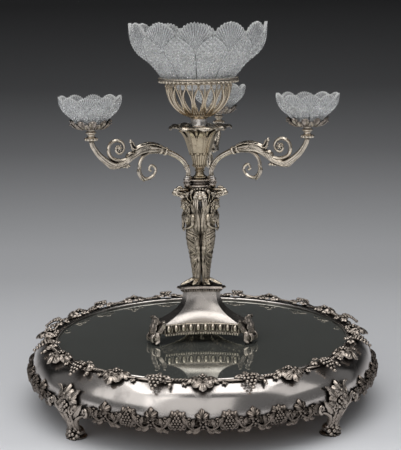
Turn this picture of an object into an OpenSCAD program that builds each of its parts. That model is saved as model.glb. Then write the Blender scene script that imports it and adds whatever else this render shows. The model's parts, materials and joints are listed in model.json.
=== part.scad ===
// Epergne on a round mirror plateau: a tripod stand with three figures, an openwork
// basket with a cut-glass bowl, and three scroll branches that each carry a small bowl.
// Millimetres, +Z up, origin on the table under the middle of the plateau.

/* [Plateau] */
// Diameter of the mirror glass
mirror_d = 512; // [460:1:560]
// Thickness of the mirror glass
mirror_t = 4; // [3:0.5:6]
// How far the shelf laps over the edge of the mirror
mirror_lap = 6; // [4:0.5:9]
// Width of the flat shelf that carries the vine border
shelf_w = 23; // [21:1:30]
// How far the skirt swells out beyond the shelf
skirt_swell = 24; // [18:1:32]
// Height of the skirt from its lower edge to the shelf
skirt_h = 62; // [56:1:76]
// Height of the skirt's fullest part above its lower edge
skirt_belly_h = 26; // [20:1:30]
// How far the skirt's lower edge tucks in
skirt_tuck = 4; // [3:0.5:7]
// Thickness of the skirt's metal
skirt_t = 2; // [1.5:0.1:2.5]
// Height of the skirt's lower edge above the table
foot_h = 46; // [38:1:60]
// Width of a plateau foot across its scroll brackets
foot_w = 78; // [64:1:96]
// Width of a plateau foot's toe
toe_w = 34; // [28:1:42]
// Thickness of the wooden board behind the mirror
board_t = 10; // [6:1:14]
// Radius of the half-round bezel round the mirror
bezel_r = 2.6; // [1.8:0.1:3.4]
// Radius of the vine stem on the shelf
vine_r = 2.4; // [1.6:0.1:3]
// Radius of one grape
grape_r = 3; // [2.4:0.1:3.6]
// Length of a vine leaf on the shelf
vine_leaf = 17; // [12:0.5:20]
// Radius of the rope moulding along the skirt's lower edge
rope_r = 3.2; // [2.4:0.1:4]
// Height of a leaf on the lower border
border_leaf = 24; // [16:0.5:28]

/* [Pedestal] */
// Distance from the axis to the corners of the pedestal
pedestal_r = 84; // [74:1:96]
// How far the pedestal's sides curve inwards
side_sag = 13; // [6:0.5:18]
// Height of the pedestal
pedestal_h = 66; // [56:1:84]
// Distance from the axis to the corners of the pedestal's top
pedestal_top_r = 39; // [35:0.5:41]
// Thickness of the pedestal's metal
pedestal_t = 2.2; // [1.6:0.1:3]
// Height of the pedestal's lower border
ovolo_h = 18; // [14:1:22]
// How far the lower border stands out from the pedestal
ovolo_w = 4; // [3:0.5:6]
// Clear height under the pedestal's lower border
paw_h = 17; // [13:1:24]
// Width of a paw foot
paw_w = 30; // [24:1:34]
// Height of the plate on the pedestal
cornice_h = 10; // [7:0.5:14]
// Distance from the axis to the corners of that plate
cornice_r = 46; // [45:0.5:52]

/* [Stem] */
// Height of a figure from its feet to the top of its head
figure_h = 148; // [128:1:170]
// Height of the capital above the heads
capital_h = 23; // [20:1:30]
// Height of the collar that holds the branches
collar_h = 14; // [11:0.5:18]
// Distance from the axis to a branch socket
socket_r = 23; // [21:0.5:27]
// Height of the spool above the collar
spool_h = 20; // [14:1:28]
// Height of the calyx
calyx_h = 67; // [56:1:80]
// Radius of the calyx at its lip
calyx_lip_r = 34; // [30:1:38]
// How far a leaf curls out over the calyx lip
calyx_leaf = 13; // [9:1:18]
// Radius of the tie rod
rod_r = 3; // [2:0.1:3.6]

/* [Basket and bowl] */
// Radius of the basket
basket_r = 55; // [54:0.5:60]
// Height of the basket from its cup to its rim
basket_h = 57; // [50:1:58]
// Thickness of the basket's straps
strap_t = 2.4; // [1.8:0.1:3]
// Width of a strap
strap_w = 2.6; // [2:0.1:3]
// Height of the basket's neck
neck_h = 18; // [14:1:28]
// Outside radius of the basket's rim
rim_r = 68.5; // [66:0.5:74]
// Height of the basket's rim
rim_h = 8; // [6:0.5:10]
// Radius of the large bowl where it sits in the rim
bowl_seat_r = 62; // [60:0.5:64]
// Radius of the large bowl at its mouth
bowl_r = 116; // [104:1:128]
// Height of the large bowl above the basket's rim, to the scallop tips
bowl_h = 91; // [80:1:104]
// Thickness of the large bowl's glass
bowl_t = 5; // [3.5:0.5:6]
// Depth of the valleys between the large bowl's scallops
bowl_dip = 20; // [12:1:24]

/* [Branches] */
// Reach of a branch from its socket to its dish
arm_reach = 177; // [160:1:196]
// Rise of a branch from its ferrule to its top end
arm_rise = 69.5; // [62:0.5:80]
// Radius of a branch's tube
arm_tube_r = 3.6; // [3:0.1:4.4]
// Radius of the spigot under a branch
spigot_r = 3; // [2.4:0.1:3.4]
// How far the back branch is turned in its socket
back_arm_swing = -12; // [-20:1:20]
// Height of the turned nozzle on a branch
nozzle_h = 20; // [16:1:26]
// Radius of the leaf cup that holds a small bowl
cup_r = 33; // [30:0.5:36]
// Height of that cup
cup_h = 14; // [12:0.5:18]
// Radius of a small bowl at its mouth
dish_r = 51; // [46:0.5:56]
// Height of a small bowl, to the scallop tips
dish_h = 51; // [44:1:58]
// Thickness of a small bowl's glass
dish_t = 3.5; // [2.5:0.5:4.5]
// Depth of the valleys between a small bowl's scallops
dish_dip = 8; // [5:0.5:11]

/* [Hidden] */
$fn = 48;
slide_gap = 0.08;       // running clearance of a spigot in its bore
fit_gap = 0.1;          // clearance of a fastener in its hole
seat_gap = 0.3;         // space between curved faces that rest on each other
flat_gap = 0.01;        // space between flat faces that part when a piece is lifted
seam = 0.2;             // angle between neighbouring cast sections
wide = 400;             // reaches past the object's edge from its axis

vine_steps = 24;        // bunches and leaf sprays round the shelf
rope_steps = 48;        // leaves and bosses round the lower border
sections = 4;           // cast sections in each border
lancets = 16;           // pointed openings round the basket
bowl_scallops = 12;
dish_scallops = 10;
branch_angles = [90, 210, 330];
branch_names = ["back", "left", "right"];
corner_names = ["right_back", "left_back", "left_front", "right_front"];

shelf_in = mirror_d / 2 - mirror_lap;
shelf_out = shelf_in + shelf_w;
belly_r = shelf_out + skirt_swell;
hem_r = belly_r - skirt_tuck;
shelf_z = foot_h + skirt_h;
belly_z = foot_h + skirt_belly_h;
mirror_z = shelf_z - skirt_t;
board_z = mirror_z - mirror_t - board_t;
board_r = shelf_out - skirt_t - 2;
vine_track = shelf_in + 2 * bezel_r + (shelf_w - 2 * bezel_r) / 2;

pedestal_z = mirror_z + paw_h;
cornice_z = pedestal_z + pedestal_h;
figure_z = cornice_z + cornice_h;
capital_z = figure_z + figure_h;
collar_z = capital_z + capital_h;
spool_z = collar_z + collar_h;
calyx_z = spool_z + spool_h;
neck_z = calyx_z + calyx_h;
basket_z = neck_z + neck_h;
rim_z = basket_z + basket_h;
bowl_z = rim_z + rim_h;

rod_bore = rod_r + fit_gap;
sleeve_t = 1.4;
sleeve_r = spigot_r + slide_gap + sleeve_t;
sleeve_flange_t = 2.5;
sleeve_flange_r = 7;
socket_floor = 3;
ferrule_h = 3;
ferrule_r = 5.5;
flange_z = spool_z + flat_gap;
ferrule_z = flange_z + sleeve_flange_t + flat_gap;
arm_z = ferrule_z + ferrule_h;
nozzle_z = arm_z + arm_rise;
cup_z = nozzle_z + nozzle_h;
cup_spigot_r = 4;
cup_spigot_l = nozzle_h - 6;
cup_t = 1.6;
cup_floor_r = 19;
dish_z = cup_z + cup_t;

silver = [0.80, 0.78, 0.74];
old_silver = [0.62, 0.59, 0.55];
cut_glass = [0.88, 0.91, 0.93, 0.45];
dark_mirror = [0.30, 0.32, 0.31];
oak = [0.45, 0.31, 0.19];
steel = [0.52, 0.52, 0.54];

// Plane curves

function oval(centre, rx, ry, from, to, n) =
    [for (i = [0 : n]) let (a = from + (to - from) * i / n) centre + [rx * cos(a), ry * sin(a)]];
function reverse(list) = [for (i = [len(list) - 1 : -1 : 0]) list[i]];
function held(list, i) = list[max(0, min(len(list) - 1, i))];
// A smooth curve through hand-chosen points, n steps between each pair
function curve_point(p, i, t) =
    let (a = held(p, i - 1), b = p[i], c = held(p, i + 1), d = held(p, i + 2))
    0.5 * (2 * b + (c - a) * t + (2 * a - 5 * b + 4 * c - d) * t * t + (3 * b - a - 3 * c + d) * t * t * t);
function curve(p, n) =
    concat([for (i = [0 : len(p) - 2]) for (k = [0 : n - 1]) curve_point(p, i, k / n)], [p[len(p) - 1]]);
function spiral(centre, r0, r1, from, to, n) =
    [for (i = [0 : n]) let (t = i / n, a = from + (to - from) * t)
        centre + r0 * pow(r1 / r0, t) * [cos(a), sin(a)]];
function way(line, i) = let (d = held(line, i + 1) - held(line, i - 1)) d / norm(d);
// The same line moved t to its left
function beside(line, t) =
    [for (i = [0 : len(line) - 1]) let (w = way(line, i)) line[i] + t * [-w[1], w[0]]];

// Solids from rings of points

function ring_faces(rings, sides, loop) =
    [for (i = [0 : rings - (loop ? 1 : 2)]) for (j = [0 : sides - 1])
        let (k = (i + 1) % rings, n = (j + 1) % sides,
             a = i * sides + j, b = i * sides + n, c = k * sides + n, d = k * sides + j)
        each [[a, b, c], [a, c, d]]];
function middle(ring) = [for (k = [0 : 2]) [for (p = ring) p[k]] * [for (p = ring) 1 / len(ring)]];
// A stack of rings that run clockwise from above, each end filled by a fan
module skin(rings) {
    n = len(rings);
    m = len(rings[0]);
    ends = [for (j = [0 : m - 1]) each [
        [n * m, (j + 1) % m, j],
        [n * m + 1, (n - 1) * m + j, (n - 1) * m + (j + 1) % m]]];
    polyhedron(concat([for (r = rings) each r], [middle(rings[0]), middle(rings[n - 1])]),
        concat(ring_faces(n, m, false), ends));
}
// A shell whose last ring joins its first
module shell_skin(rings) {
    polyhedron([for (r = rings) each r], ring_faces(len(rings), len(rings[0]), true));
}
// A round rod along a line in the XZ plane, with a radius at each point
module rod(line, radii, sides) {
    skin([for (i = [0 : len(line) - 1]) let (w = way(line, i), r = radii[i])
        [for (j = [0 : sides - 1]) let (a = 360 * j / sides)
            [line[i][0] - w[1] * r * cos(a), r * sin(a), line[i][1] + w[0] * r * cos(a)]]]);
}
module turned(profile) {
    rotate_extrude() polygon(profile);
}
module ball(p, r) {
    translate(p) sphere(r, $fn = 7);
}
// Two outlines crossed: the side one in XZ, the front one in YZ
module crossed(side, front) {
    intersection() {
        rotate([90, 0, 0]) linear_extrude(wide, center = true) polygon(side);
        rotate([90, 0, 90]) linear_extrude(wide) polygon(front);
    }
}
function both_sides(half) = concat(half, reverse([for (p = half) [-p[0], p[1]]]));

// Plateau

function belly_line() = concat(
    oval([shelf_out, belly_z], skirt_swell, skirt_h - skirt_belly_h, 90, 0, 18), [[hem_r, foot_h]]);
function belly_radius(z) = let (up = (z - belly_z) / (skirt_h - skirt_belly_h))
    shelf_out + skirt_swell * sqrt(1 - up * up);
lug_count = 8;
lug_w = 14;
lug_t = 3;
lug_lap = 12;
screw_r = 1.6;
screw_bite = 5;
stud_r = 2;
stud_z = foot_h + skirt_belly_h / 2;
stud_turn = 2.2;
stud_l = 14;
nut_r = 4.2;
nut_t = 3;
hem_lean = atan(skirt_tuck / skirt_belly_h);
nut_seat = skirt_tuck / 2 + skirt_t / cos(hem_lean) + nut_r * tan(hem_lean) + fit_gap;
module at_lugs() {
    for (i = [0 : lug_count - 1]) rotate([0, 0, 360 * (i + 0.5) / lug_count])
        translate([board_r, 0, board_z]) children();
}
// Stud axes of one foot, pointing in through the skirt
module at_studs() {
    for (side = [-1, 1]) rotate([0, 0, side * stud_turn])
        translate([belly_r, 0, stud_z]) rotate([0, -90, 0]) children();
}
module at_feet() {
    for (i = [0 : sections - 1]) rotate([0, 0, 360 * (i + 0.5) / sections]) children();
}
// Everything inside the skirt's outer face
module belly_solid() {
    turned(concat([[0, foot_h]], reverse(belly_line()), [[0, shelf_z]]));
}
module plateau_skirt() {
    line = concat([[shelf_in, shelf_z]], belly_line());
    color(silver) difference() {
        union() {
            turned(concat(line, reverse(beside(line, -skirt_t))));
            at_lugs() translate([-lug_lap, -lug_w / 2, -lug_t])
                cube([belly_radius(board_z) - board_r + lug_lap - skirt_t / 2, lug_w, lug_t]);
        }
        at_lugs() translate([-lug_lap / 2, 0, -2 * lug_t]) cylinder(r = screw_r + fit_gap, h = 3 * lug_t);
        at_feet() at_studs() translate([0, 0, -stud_l]) cylinder(r = stud_r + fit_gap, h = 2 * stud_l);
    }
}
module base_board() {
    color(oak) difference() {
        translate([0, 0, board_z]) cylinder(r = board_r, h = board_t);
        at_lugs() translate([-lug_lap / 2, 0, -1]) cylinder(r = screw_r + fit_gap, h = screw_bite + 1.5);
    }
}
module board_screws() {
    color(steel) at_lugs() translate([-lug_lap / 2, 0, -lug_t]) union() {
        cylinder(r = screw_r, h = lug_t + screw_bite);
        translate([0, 0, -screw_r]) cylinder(r = 2 * screw_r, h = screw_r);
    }
}
module mirror_plate() {
    color(dark_mirror) translate([0, 0, mirror_z - mirror_t]) cylinder(d = mirror_d, h = mirror_t);
}
module mirror_bezel() {
    color(silver) turned(oval([shelf_in + bezel_r, shelf_z], bezel_r, bezel_r, 0, 180, 10));
}
// A five-lobed vine leaf that points along +X from its stalk
function leaf_outline(size) =
    [for (i = [0 : 19]) let (a = 18 * i, r = size * (0.32 + 0.20 * abs(cos(2.5 * a))))
        [0.45 * size + r * cos(a), 0.9 * r * sin(a)]];
module leaf(size, thick) {
    linear_extrude(thick) polygon(leaf_outline(size));
}
module grape_bunch() {
    rows = [3, 4, 3, 2, 1];
    for (row = [0 : len(rows) - 1]) for (k = [0 : rows[row] - 1])
        translate(grape_r * [1.5 * row - 2, 1.7 * (k - (rows[row] - 1) / 2), 1.9 - 0.3 * row])
            sphere(grape_r);
}
module leaf_spray() {
    for (turn = [-60, 0, 60]) rotate([0, 0, turn]) translate([-0.3 * vine_leaf, 0, 0.4 * vine_r])
        rotate([0, 8, 0]) leaf(vine_leaf, vine_r);
}
// Leaf sprays and bunches in turn, with a length of stem between each two, all lying on the shelf
module vine_border(index) {
    per_section = vine_steps / sections;
    step = 360 / vine_steps;
    reach = asin(0.75 * vine_leaf / vine_track);
    color(old_silver) rotate([0, 0, 360 * index / sections]) for (k = [0 : per_section - 1]) {
        rotate([0, 0, step * k]) translate([vine_track, 0, shelf_z]) intersection() {
            if (k % 2 == 0) leaf_spray();
            else translate([grape_r, 0, 0]) grape_bunch();
            translate([-shelf_w, -shelf_w, 0]) cube(2 * shelf_w);
        }
        rotate([0, 0, step * k + reach]) rotate_extrude(angle = step - 2 * reach)
            translate([vine_track, shelf_z]) intersection() {
                translate([0, vine_r / 2]) circle(vine_r);
                translate([-vine_r, 0]) square(2 * vine_r);
            }
    }
}
// Half-round rope along the hem, with leaves and bosses flat on the skirt above it
border_relief = 3.5;
module border_boss() {
    turned(concat([[0, 0]], oval([0, 0], 0.28 * border_leaf, border_relief, 0, 90, 6)));
}
module foliage_border(index) {
    per_section = rope_steps / sections;
    step = 360 / rope_steps;
    foot_half = asin(foot_w / 2 / belly_r) / step;
    leaf_foot = 0.08 * border_leaf + rope_r;
    color(old_silver) rotate([0, 0, 360 * index / sections]) {
        rotate([0, 0, seam - step / 2]) rotate_extrude(angle = 360 / sections - 2 * seam)
            translate([hem_r, foot_h]) difference() {
                circle(rope_r);
                translate([-2 * rope_r, 0]) square(2 * [rope_r, skirt_belly_h]);
                polygon([[0, 0], [skirt_tuck, skirt_belly_h], [-1, skirt_belly_h], [-1, 0]]);
            }
        for (k = [0 : per_section - 1]) if (abs(k - per_section / 2) > foot_half)
            rotate([0, 0, step * k]) translate([hem_r + fit_gap, 0, foot_h]) rotate([0, hem_lean, 0])
                if (k % 2 == 0) translate([border_relief, 0, leaf_foot]) rotate([0, -90, 0])
                    leaf(border_leaf, border_relief);
                else translate([0, 0, leaf_foot + 0.3 * border_leaf]) rotate([0, 90, 0]) border_boss();
    }
}
// Cast foot: a leaf tongue up the skirt, scroll brackets, an ankle and a toe that turns out
ankle_w = 22;
tongue_w = 34;
tongue_h = skirt_belly_h + 12;
toe_out = 10;
toe_r = 7;
sole_in = 22;
function foot_front() = both_sides(concat(
    [[0, foot_h + tongue_h], [0.25 * tongue_w, foot_h + 0.85 * tongue_h]],
    [[0.5 * tongue_w, foot_h + 0.5 * tongue_h]],
    [[0.55 * tongue_w, foot_h + 2 * rope_r]],
    oval([foot_w / 2 - rope_r, foot_h], rope_r, rope_r, 90, -60, 5),
    oval([foot_w / 2 - rope_r, 0.42 * foot_h], foot_w / 2 - rope_r - ankle_w / 2, 0.5 * foot_h, 90, 180, 8),
    oval([toe_w / 2 - toe_r, toe_r], toe_r, toe_r, 75, -90, 6)));
function foot_side() = concat(
    [[belly_r - skirt_swell, foot_h + tongue_h], [hem_r + 3, foot_h + tongue_h]],
    [[belly_r + 4, foot_h + 0.4 * tongue_h]],
    oval([belly_r + toe_out, 0.62 * foot_h], toe_out, 0.4 * foot_h, 150, 250, 7),
    oval([belly_r + toe_out - toe_r, toe_r], toe_r, toe_r, 80, -90, 7),
    [[belly_r - sole_in, 0], [belly_r - sole_in, 0.2 * foot_h], [hem_r - 2 * rope_r, 0.6 * foot_h]],
    [[hem_r - 3 * rope_r, foot_h]]);
module plateau_foot(index) {
    color(old_silver) rotate([0, 0, 360 * (index + 0.5) / sections]) union() {
        difference() {
            crossed(foot_side(), foot_front());
            belly_solid();
            rotate_extrude() translate([hem_r, foot_h]) circle(rope_r + fit_gap);
        }
        at_studs() translate([0, 0, -2]) cylinder(r = stud_r, h = stud_l);
    }
}
module foot_nuts() {
    color(steel) at_feet() at_studs() translate([0, 0, nut_seat]) difference() {
        cylinder(r = nut_r, h = nut_t, $fn = 6);
        translate([0, 0, -1]) cylinder(r = stud_r + fit_gap, h = nut_t + 2);
    }
}

// Pedestal

// Plan with three sides that curve in between canted corners
side_steps = 8;
pedestal_cant = 12;
cornice_cant = 8;
cornice_sag = 5;
function turn(p, a) = [p[0] * cos(a) - p[1] * sin(a), p[0] * sin(a) + p[1] * cos(a)];
function side_line(r, sag, cant) = let (a = 330 - cant, q = r * [cos(a), sin(a)])
    [for (i = [0 : side_steps]) let (t = 2 * i / side_steps - 1) [q[0] * t, q[1] + sag * (1 - t * t)]];
function tripod(r, sag, cant) = [for (k = [0 : 2]) for (p = side_line(r, sag, cant)) turn(p, 120 * k)];
module slab(outline, z, h) {
    translate([0, 0, z]) linear_extrude(h) polygon(outline);
}
// Upright behind the lower border, then a cavetto that draws in fast to the top
shell_steps = 8;
cavetto = 4.6;
function shell_r(t) = pedestal_top_r + (pedestal_r - pedestal_top_r) * pow(1 - t, cavetto);
module pedestal_shell() {
    ring = function (r, inset, z)
        [for (p = reverse(tripod(r - inset, side_sag * r / pedestal_r, pedestal_cant))) [p[0], p[1], z]];
    side = function (inset, drop) concat([ring(pedestal_r, inset, pedestal_z)],
        [for (i = [0 : shell_steps]) let (t = pow(i / shell_steps, 1.6))
            ring(shell_r(t), inset, pedestal_z + ovolo_h + t * (pedestal_h - ovolo_h) - drop * (1 - t))]);
    color(silver) shell_skin(concat(side(0, 0), reverse(side(pedestal_t, pedestal_t))));
}
// Egg-and-dart along each side, between the feet
module pedestal_ovolo() {
    eggs = 8;
    egg_r = 0.36 * ovolo_h;
    line = side_line(pedestal_r, side_sag, pedestal_cant);
    at = function (t) [line[side_steps][0] * t, line[side_steps][1] + side_sag * (1 - t * t) - ovolo_w];
    band = concat(line, reverse([for (p = line) p - [0, ovolo_w]]));
    flank = oval([0, 0.62 * ovolo_h], egg_r, 0.55 * ovolo_h, -75, 35, 5);
    egg = concat([[0, 0]], flank, [[0, 0.94 * ovolo_h]]);
    color(silver) for (k = [0 : 2]) rotate([0, 0, 120 * k]) difference() {
        union() {
            slab(band, pedestal_z, ovolo_h);
            for (i = [0 : eggs - 1]) let (p = at((2 * i + 1) / eggs - 1))
                translate([p[0], p[1] + 0.4, pedestal_z]) turned(egg);
        }
        slab(tripod(pedestal_r, side_sag, pedestal_cant), pedestal_z - ovolo_h, 3 * ovolo_h);
    }
}
// Paw foot: a ledge under the shell's corner, a scroll that turns out above it and a paw below
corner_flat = pedestal_r * cos(pedestal_cant);
paw_out = 14;
paw_scroll = 6;
sole_z = mirror_z + flat_gap;
function paw_side() = concat(
    [[corner_flat - paw_out, pedestal_z], [corner_flat + seat_gap, pedestal_z]],
    [[corner_flat + seat_gap, pedestal_z + 0.5 * ovolo_h]],
    oval([corner_flat + paw_scroll + 2, pedestal_z + ovolo_h], paw_scroll, paw_scroll, 200, -60, 12),
    oval([corner_flat + paw_out, pedestal_z + 0.3 * ovolo_h], 6, 0.4 * ovolo_h, 110, 240, 7),
    oval([corner_flat + paw_out - 5, sole_z + 0.45 * paw_h], 6, 0.45 * paw_h, 70, -90, 8),
    [[corner_flat - paw_out, sole_z]]);
function paw_front() = both_sides(concat(
    [[0, pedestal_z + ovolo_h + paw_scroll]],
    oval([0.36 * paw_w - 4, pedestal_z + ovolo_h], 4, paw_scroll, 90, -40, 5),
    [[0.28 * paw_w, pedestal_z + 0.25 * ovolo_h]],
    oval([0.5 * paw_w - 5, sole_z + 0.5 * paw_h], 5, 0.5 * paw_h, 80, -90, 7)));
module paw_foot(angle) {
    color(old_silver) rotate([0, 0, angle]) crossed(paw_side(), paw_front());
}
module cornice_plate() {
    step = 0.4 * cornice_h;
    color(silver) difference() {
        union() {
            slab(tripod(cornice_r - 3, cornice_sag, cornice_cant), cornice_z, step);
            slab(tripod(cornice_r, cornice_sag, cornice_cant), cornice_z + step, cornice_h - step);
        }
        translate([0, 0, cornice_z - 1]) cylinder(r = rod_bore, h = cornice_h + 2);
    }
}

// Figures, back to back round the tie rod. Each faces +X here and is cut to its third of the turn.
// Height, distance from the axis, half depth and half width in shares of the figure's height, then folds
figure_form = [
    [0, 0.057, 0.045, 0.046, 0], [0.06, 0.055, 0.039, 0.042, 0.05], [0.2, 0.059, 0.049, 0.049, 0.09],
    [0.38, 0.073, 0.068, 0.065, 0.08], [0.52, 0.085, 0.084, 0.078, 0.05], [0.6, 0.093, 0.084, 0.08, 0.02],
    [0.69, 0.112, 0.068, 0.061, 0], [0.77, 0.134, 0.081, 0.077, 0], [0.83, 0.149, 0.068, 0.098, 0],
    [0.865, 0.164, 0.036, 0.047, 0], [0.885, 0.175, 0.030, 0.03, 0], [0.905, 0.188, 0.042, 0.036, 0],
    [0.945, 0.191, 0.057, 0.049, 0], [0.98, 0.186, 0.05, 0.043, 0], [1, 0.183, 0.027, 0.024, 0]];
fold_count = 9;
figure_sides = 16;
core_r = rod_r + 1.2;
function figure_ring(s) =
    [for (j = [0 : figure_sides - 1]) let (a = -360 * j / figure_sides, k = 1 + s[4] * cos(fold_count * a))
        figure_h * [s[1] + s[2] * k * cos(a), s[3] * k * sin(a), s[0]]];
module limb(a, b, ra, rb) {
    hull() {
        ball(a, ra);
        ball(b, rb);
    }
}
module draped_figure() {
    h = figure_h;
    difference() {
        union() {
            skin([for (s = curve(figure_form, 2)) figure_ring(s)]);
            for (side = [-1, 1]) {
                elbow = h * [0.165, 0.098 * side, 0.71];
                wing = h * [0.101, 0.066 * side, 0.84];
                limb(h * [0.151, 0.088 * side, 0.82], elbow, 0.023 * h, 0.019 * h);
                limb(elbow, h * [0.210, 0.027 * side, 0.675], 0.019 * h, 0.015 * h);
                limb(h * [0.142, 0.045 * side, 0.96], wing, 0.020 * h, 0.024 * h);
                limb(wing, h * [0.061, 0.051 * side, 0.64], 0.024 * h, 0.0135 * h);
            }
            limb(h * [0.162, 0, 0.60], h * [0.149, 0, 0.49], 0.044 * h, 0.030 * h);
            hull() {
                translate(h * [0.054, -0.061, 0]) cube(h * [0.040, 0.122, 0.061]);
                translate(h * [0.230, -0.040, 0]) cube(h * [0.040, 0.080, 0.0135]);
            }
        }
        translate([0, 0, -1]) cylinder(r = core_r, h = h + 2, $fn = 24);
        for (side = [-1, 1]) rotate([0, 0, side * 60])
            translate([-wide, side > 0 ? -seat_gap : seat_gap - wide, -1]) cube([2 * wide, wide, h + 2]);
        translate([-wide, -wide, h]) cube(2 * wide);
        translate([-wide, -wide, -2 * wide]) cube(2 * wide);
    }
}
module figure(angle) {
    color(old_silver) rotate([0, 0, angle]) translate([0, 0, figure_z]) draped_figure();
}

// Stem

// Bell capital with a volute at each figure and a bead over each gap
volute_r = 5;
volute_w = 13;
volute_at = 47;
head_out = 0.21 * figure_h;
module capital() {
    h = capital_h;
    bell = curve([[24, 0], [19, 0.2 * h], [18, 0.5 * h], [22, 0.85 * h], [25, h]], 4);
    bracket = concat([[15, 0], [head_out, 0]],
        oval([volute_at, 0.05 * h], volute_at - head_out, 0.72 * h, 180, 90, 8),
        [[volute_at, h - 1], [15, h - 1]]);
    color(old_silver) translate([0, 0, capital_z]) difference() {
        union() {
            turned(concat([[0, 0]], bell, [[0, h]]));
            for (a = branch_angles) rotate([0, 0, a]) {
                translate([volute_at, volute_w / 2, h - volute_r - 1]) rotate([90, 0, 0])
                    cylinder(r = volute_r, h = volute_w);
                rotate([90, 0, 0]) linear_extrude(volute_w - 3, center = true) polygon(bracket);
                rotate([0, 0, 60]) translate([22, 0, 0.62 * h]) sphere(5);
            }
        }
        translate([0, 0, -1]) cylinder(r = rod_bore, h = h + 2);
    }
}
module at_sockets() {
    for (a = branch_angles) rotate([0, 0, a]) translate([socket_r, 0, 0]) children();
}
module branch_collar() {
    h = collar_h;
    color(silver) translate([0, 0, collar_z]) difference() {
        union() {
            turned([[0, 0], [24, 0], [26, 0.2 * h], [24, 0.45 * h], [19, 0.7 * h], [17, h], [0, h]]);
            at_sockets() cylinder(r = sleeve_flange_r + 1, h = h);
        }
        translate([0, 0, -1]) cylinder(r = rod_bore, h = h + 2);
        at_sockets() translate([0, 0, socket_floor]) cylinder(r = sleeve_r + slide_gap, h = h);
    }
}
rod_tail = 16;
rod_bite = 12;
nut_h = 5;
washer_t = 2;
module tie_rod() {
    color(steel) translate([0, 0, cornice_z - rod_tail])
        cylinder(r = rod_r, h = calyx_z + rod_bite - cornice_z + rod_tail);
}
module rod_nut() {
    color(steel) translate([0, 0, cornice_z - nut_h - washer_t]) difference() {
        union() {
            cylinder(r = 2.6 * rod_r, h = nut_h, $fn = 6);
            translate([0, 0, nut_h]) cylinder(r = 4 * rod_r, h = washer_t);
        }
        translate([0, 0, -1]) cylinder(r = rod_bore, h = nut_h + washer_t + 2);
    }
}
module stem_spool() {
    h = spool_h;
    line = curve([[13, 0], [13, 0.1 * h], [9, 0.25 * h], [6.9, 0.5 * h], [7.6, 0.75 * h],
        [10, 0.92 * h], [10, h]], 4);
    color(silver) translate([0, 0, spool_z]) turned(concat([[rod_bore, 0]], line, [[rod_bore, h]]));
}
calyx_t = 2;
calyx_hub_r = 11;
neck_spigot_r = 7;
neck_spigot_l = 16;
function calyx_line() = let (h = calyx_h) concat([[calyx_hub_r, 0]], curve([
    [calyx_hub_r, 0.05 * h], [13, 0.2 * h], [16.5, 0.4 * h],
    [21, 0.64 * h], [0.8 * calyx_lip_r, 0.86 * h], [calyx_lip_r, h - calyx_t]], 4));
module calyx_body() {
    line = calyx_line();
    color(silver) translate([0, 0, calyx_z]) difference() {
        union() {
            turned(concat(line, reverse(beside(line, calyx_t))));
            cylinder(r = calyx_hub_r - 0.5, h = rod_bite + calyx_t);
            translate([0, 0, calyx_h - neck_spigot_l]) cylinder(r = neck_spigot_r + 2, h = neck_spigot_l);
            translate([0, 0, calyx_h - 2 * calyx_t]) cylinder(r = calyx_lip_r - calyx_t, h = 2 * calyx_t);
        }
        translate([0, 0, -1]) cylinder(r = rod_bore, h = rod_bite + 1.5);
        translate([0, 0, calyx_h - neck_spigot_l - 1])
            cylinder(r = neck_spigot_r + slide_gap, h = 2 * neck_spigot_l);
    }
}
// A ring of leaves that rise over the lip, turn out and droop
calyx_leaf_count = 9;
module calyx_leaves() {
    steps = 8 * calyx_leaf_count;
    thick = 1.2;
    section = function (a) let (
        s = pow(abs(cos(a * calyx_leaf_count / 2)), 0.7), reach = 2 + calyx_leaf * s,
        line = [[0, thick], [0.35 * reach, 2 + thick + 1.5 * s], [0.75 * reach, 2 + 0.5 * s],
            [reach, -5 * s]])
        concat(line, reverse(beside(line, -thick)));
    color(old_silver) translate([0, 0, calyx_z + calyx_h - calyx_t])
        shell_skin([for (i = [0 : steps - 1]) let (a = 360 * i / steps)
            [for (p = section(a)) [(calyx_lip_r + p[0]) * cos(a), (calyx_lip_r + p[0]) * sin(a), p[1]]]]);
}

// Basket and large bowl

// Baluster neck that opens into a cup, with a spigot that drops into the calyx
ball_z = rim_z - 6;      // where the basket is fullest
function ball_r(z) = sqrt(pow(basket_r, 2) - pow(ball_z - z, 2));
cup_mouth = ball_r(basket_z);
neck_r = 12.5;
module basket_neck() {
    h = neck_h;
    line = curve([[neck_r + 3, 0], [neck_r + 1, 0.15 * h], [neck_r, 0.3 * h], [neck_r, 0.65 * h],
        [neck_r + 2, 0.8 * h], [cup_mouth, h]], 5);
    color(silver) translate([0, 0, neck_z]) turned(concat(
        [[0, 1 - neck_spigot_l], [neck_spigot_r, 1 - neck_spigot_l], [neck_spigot_r, 0]], line, [[0, h]]));
}
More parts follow.
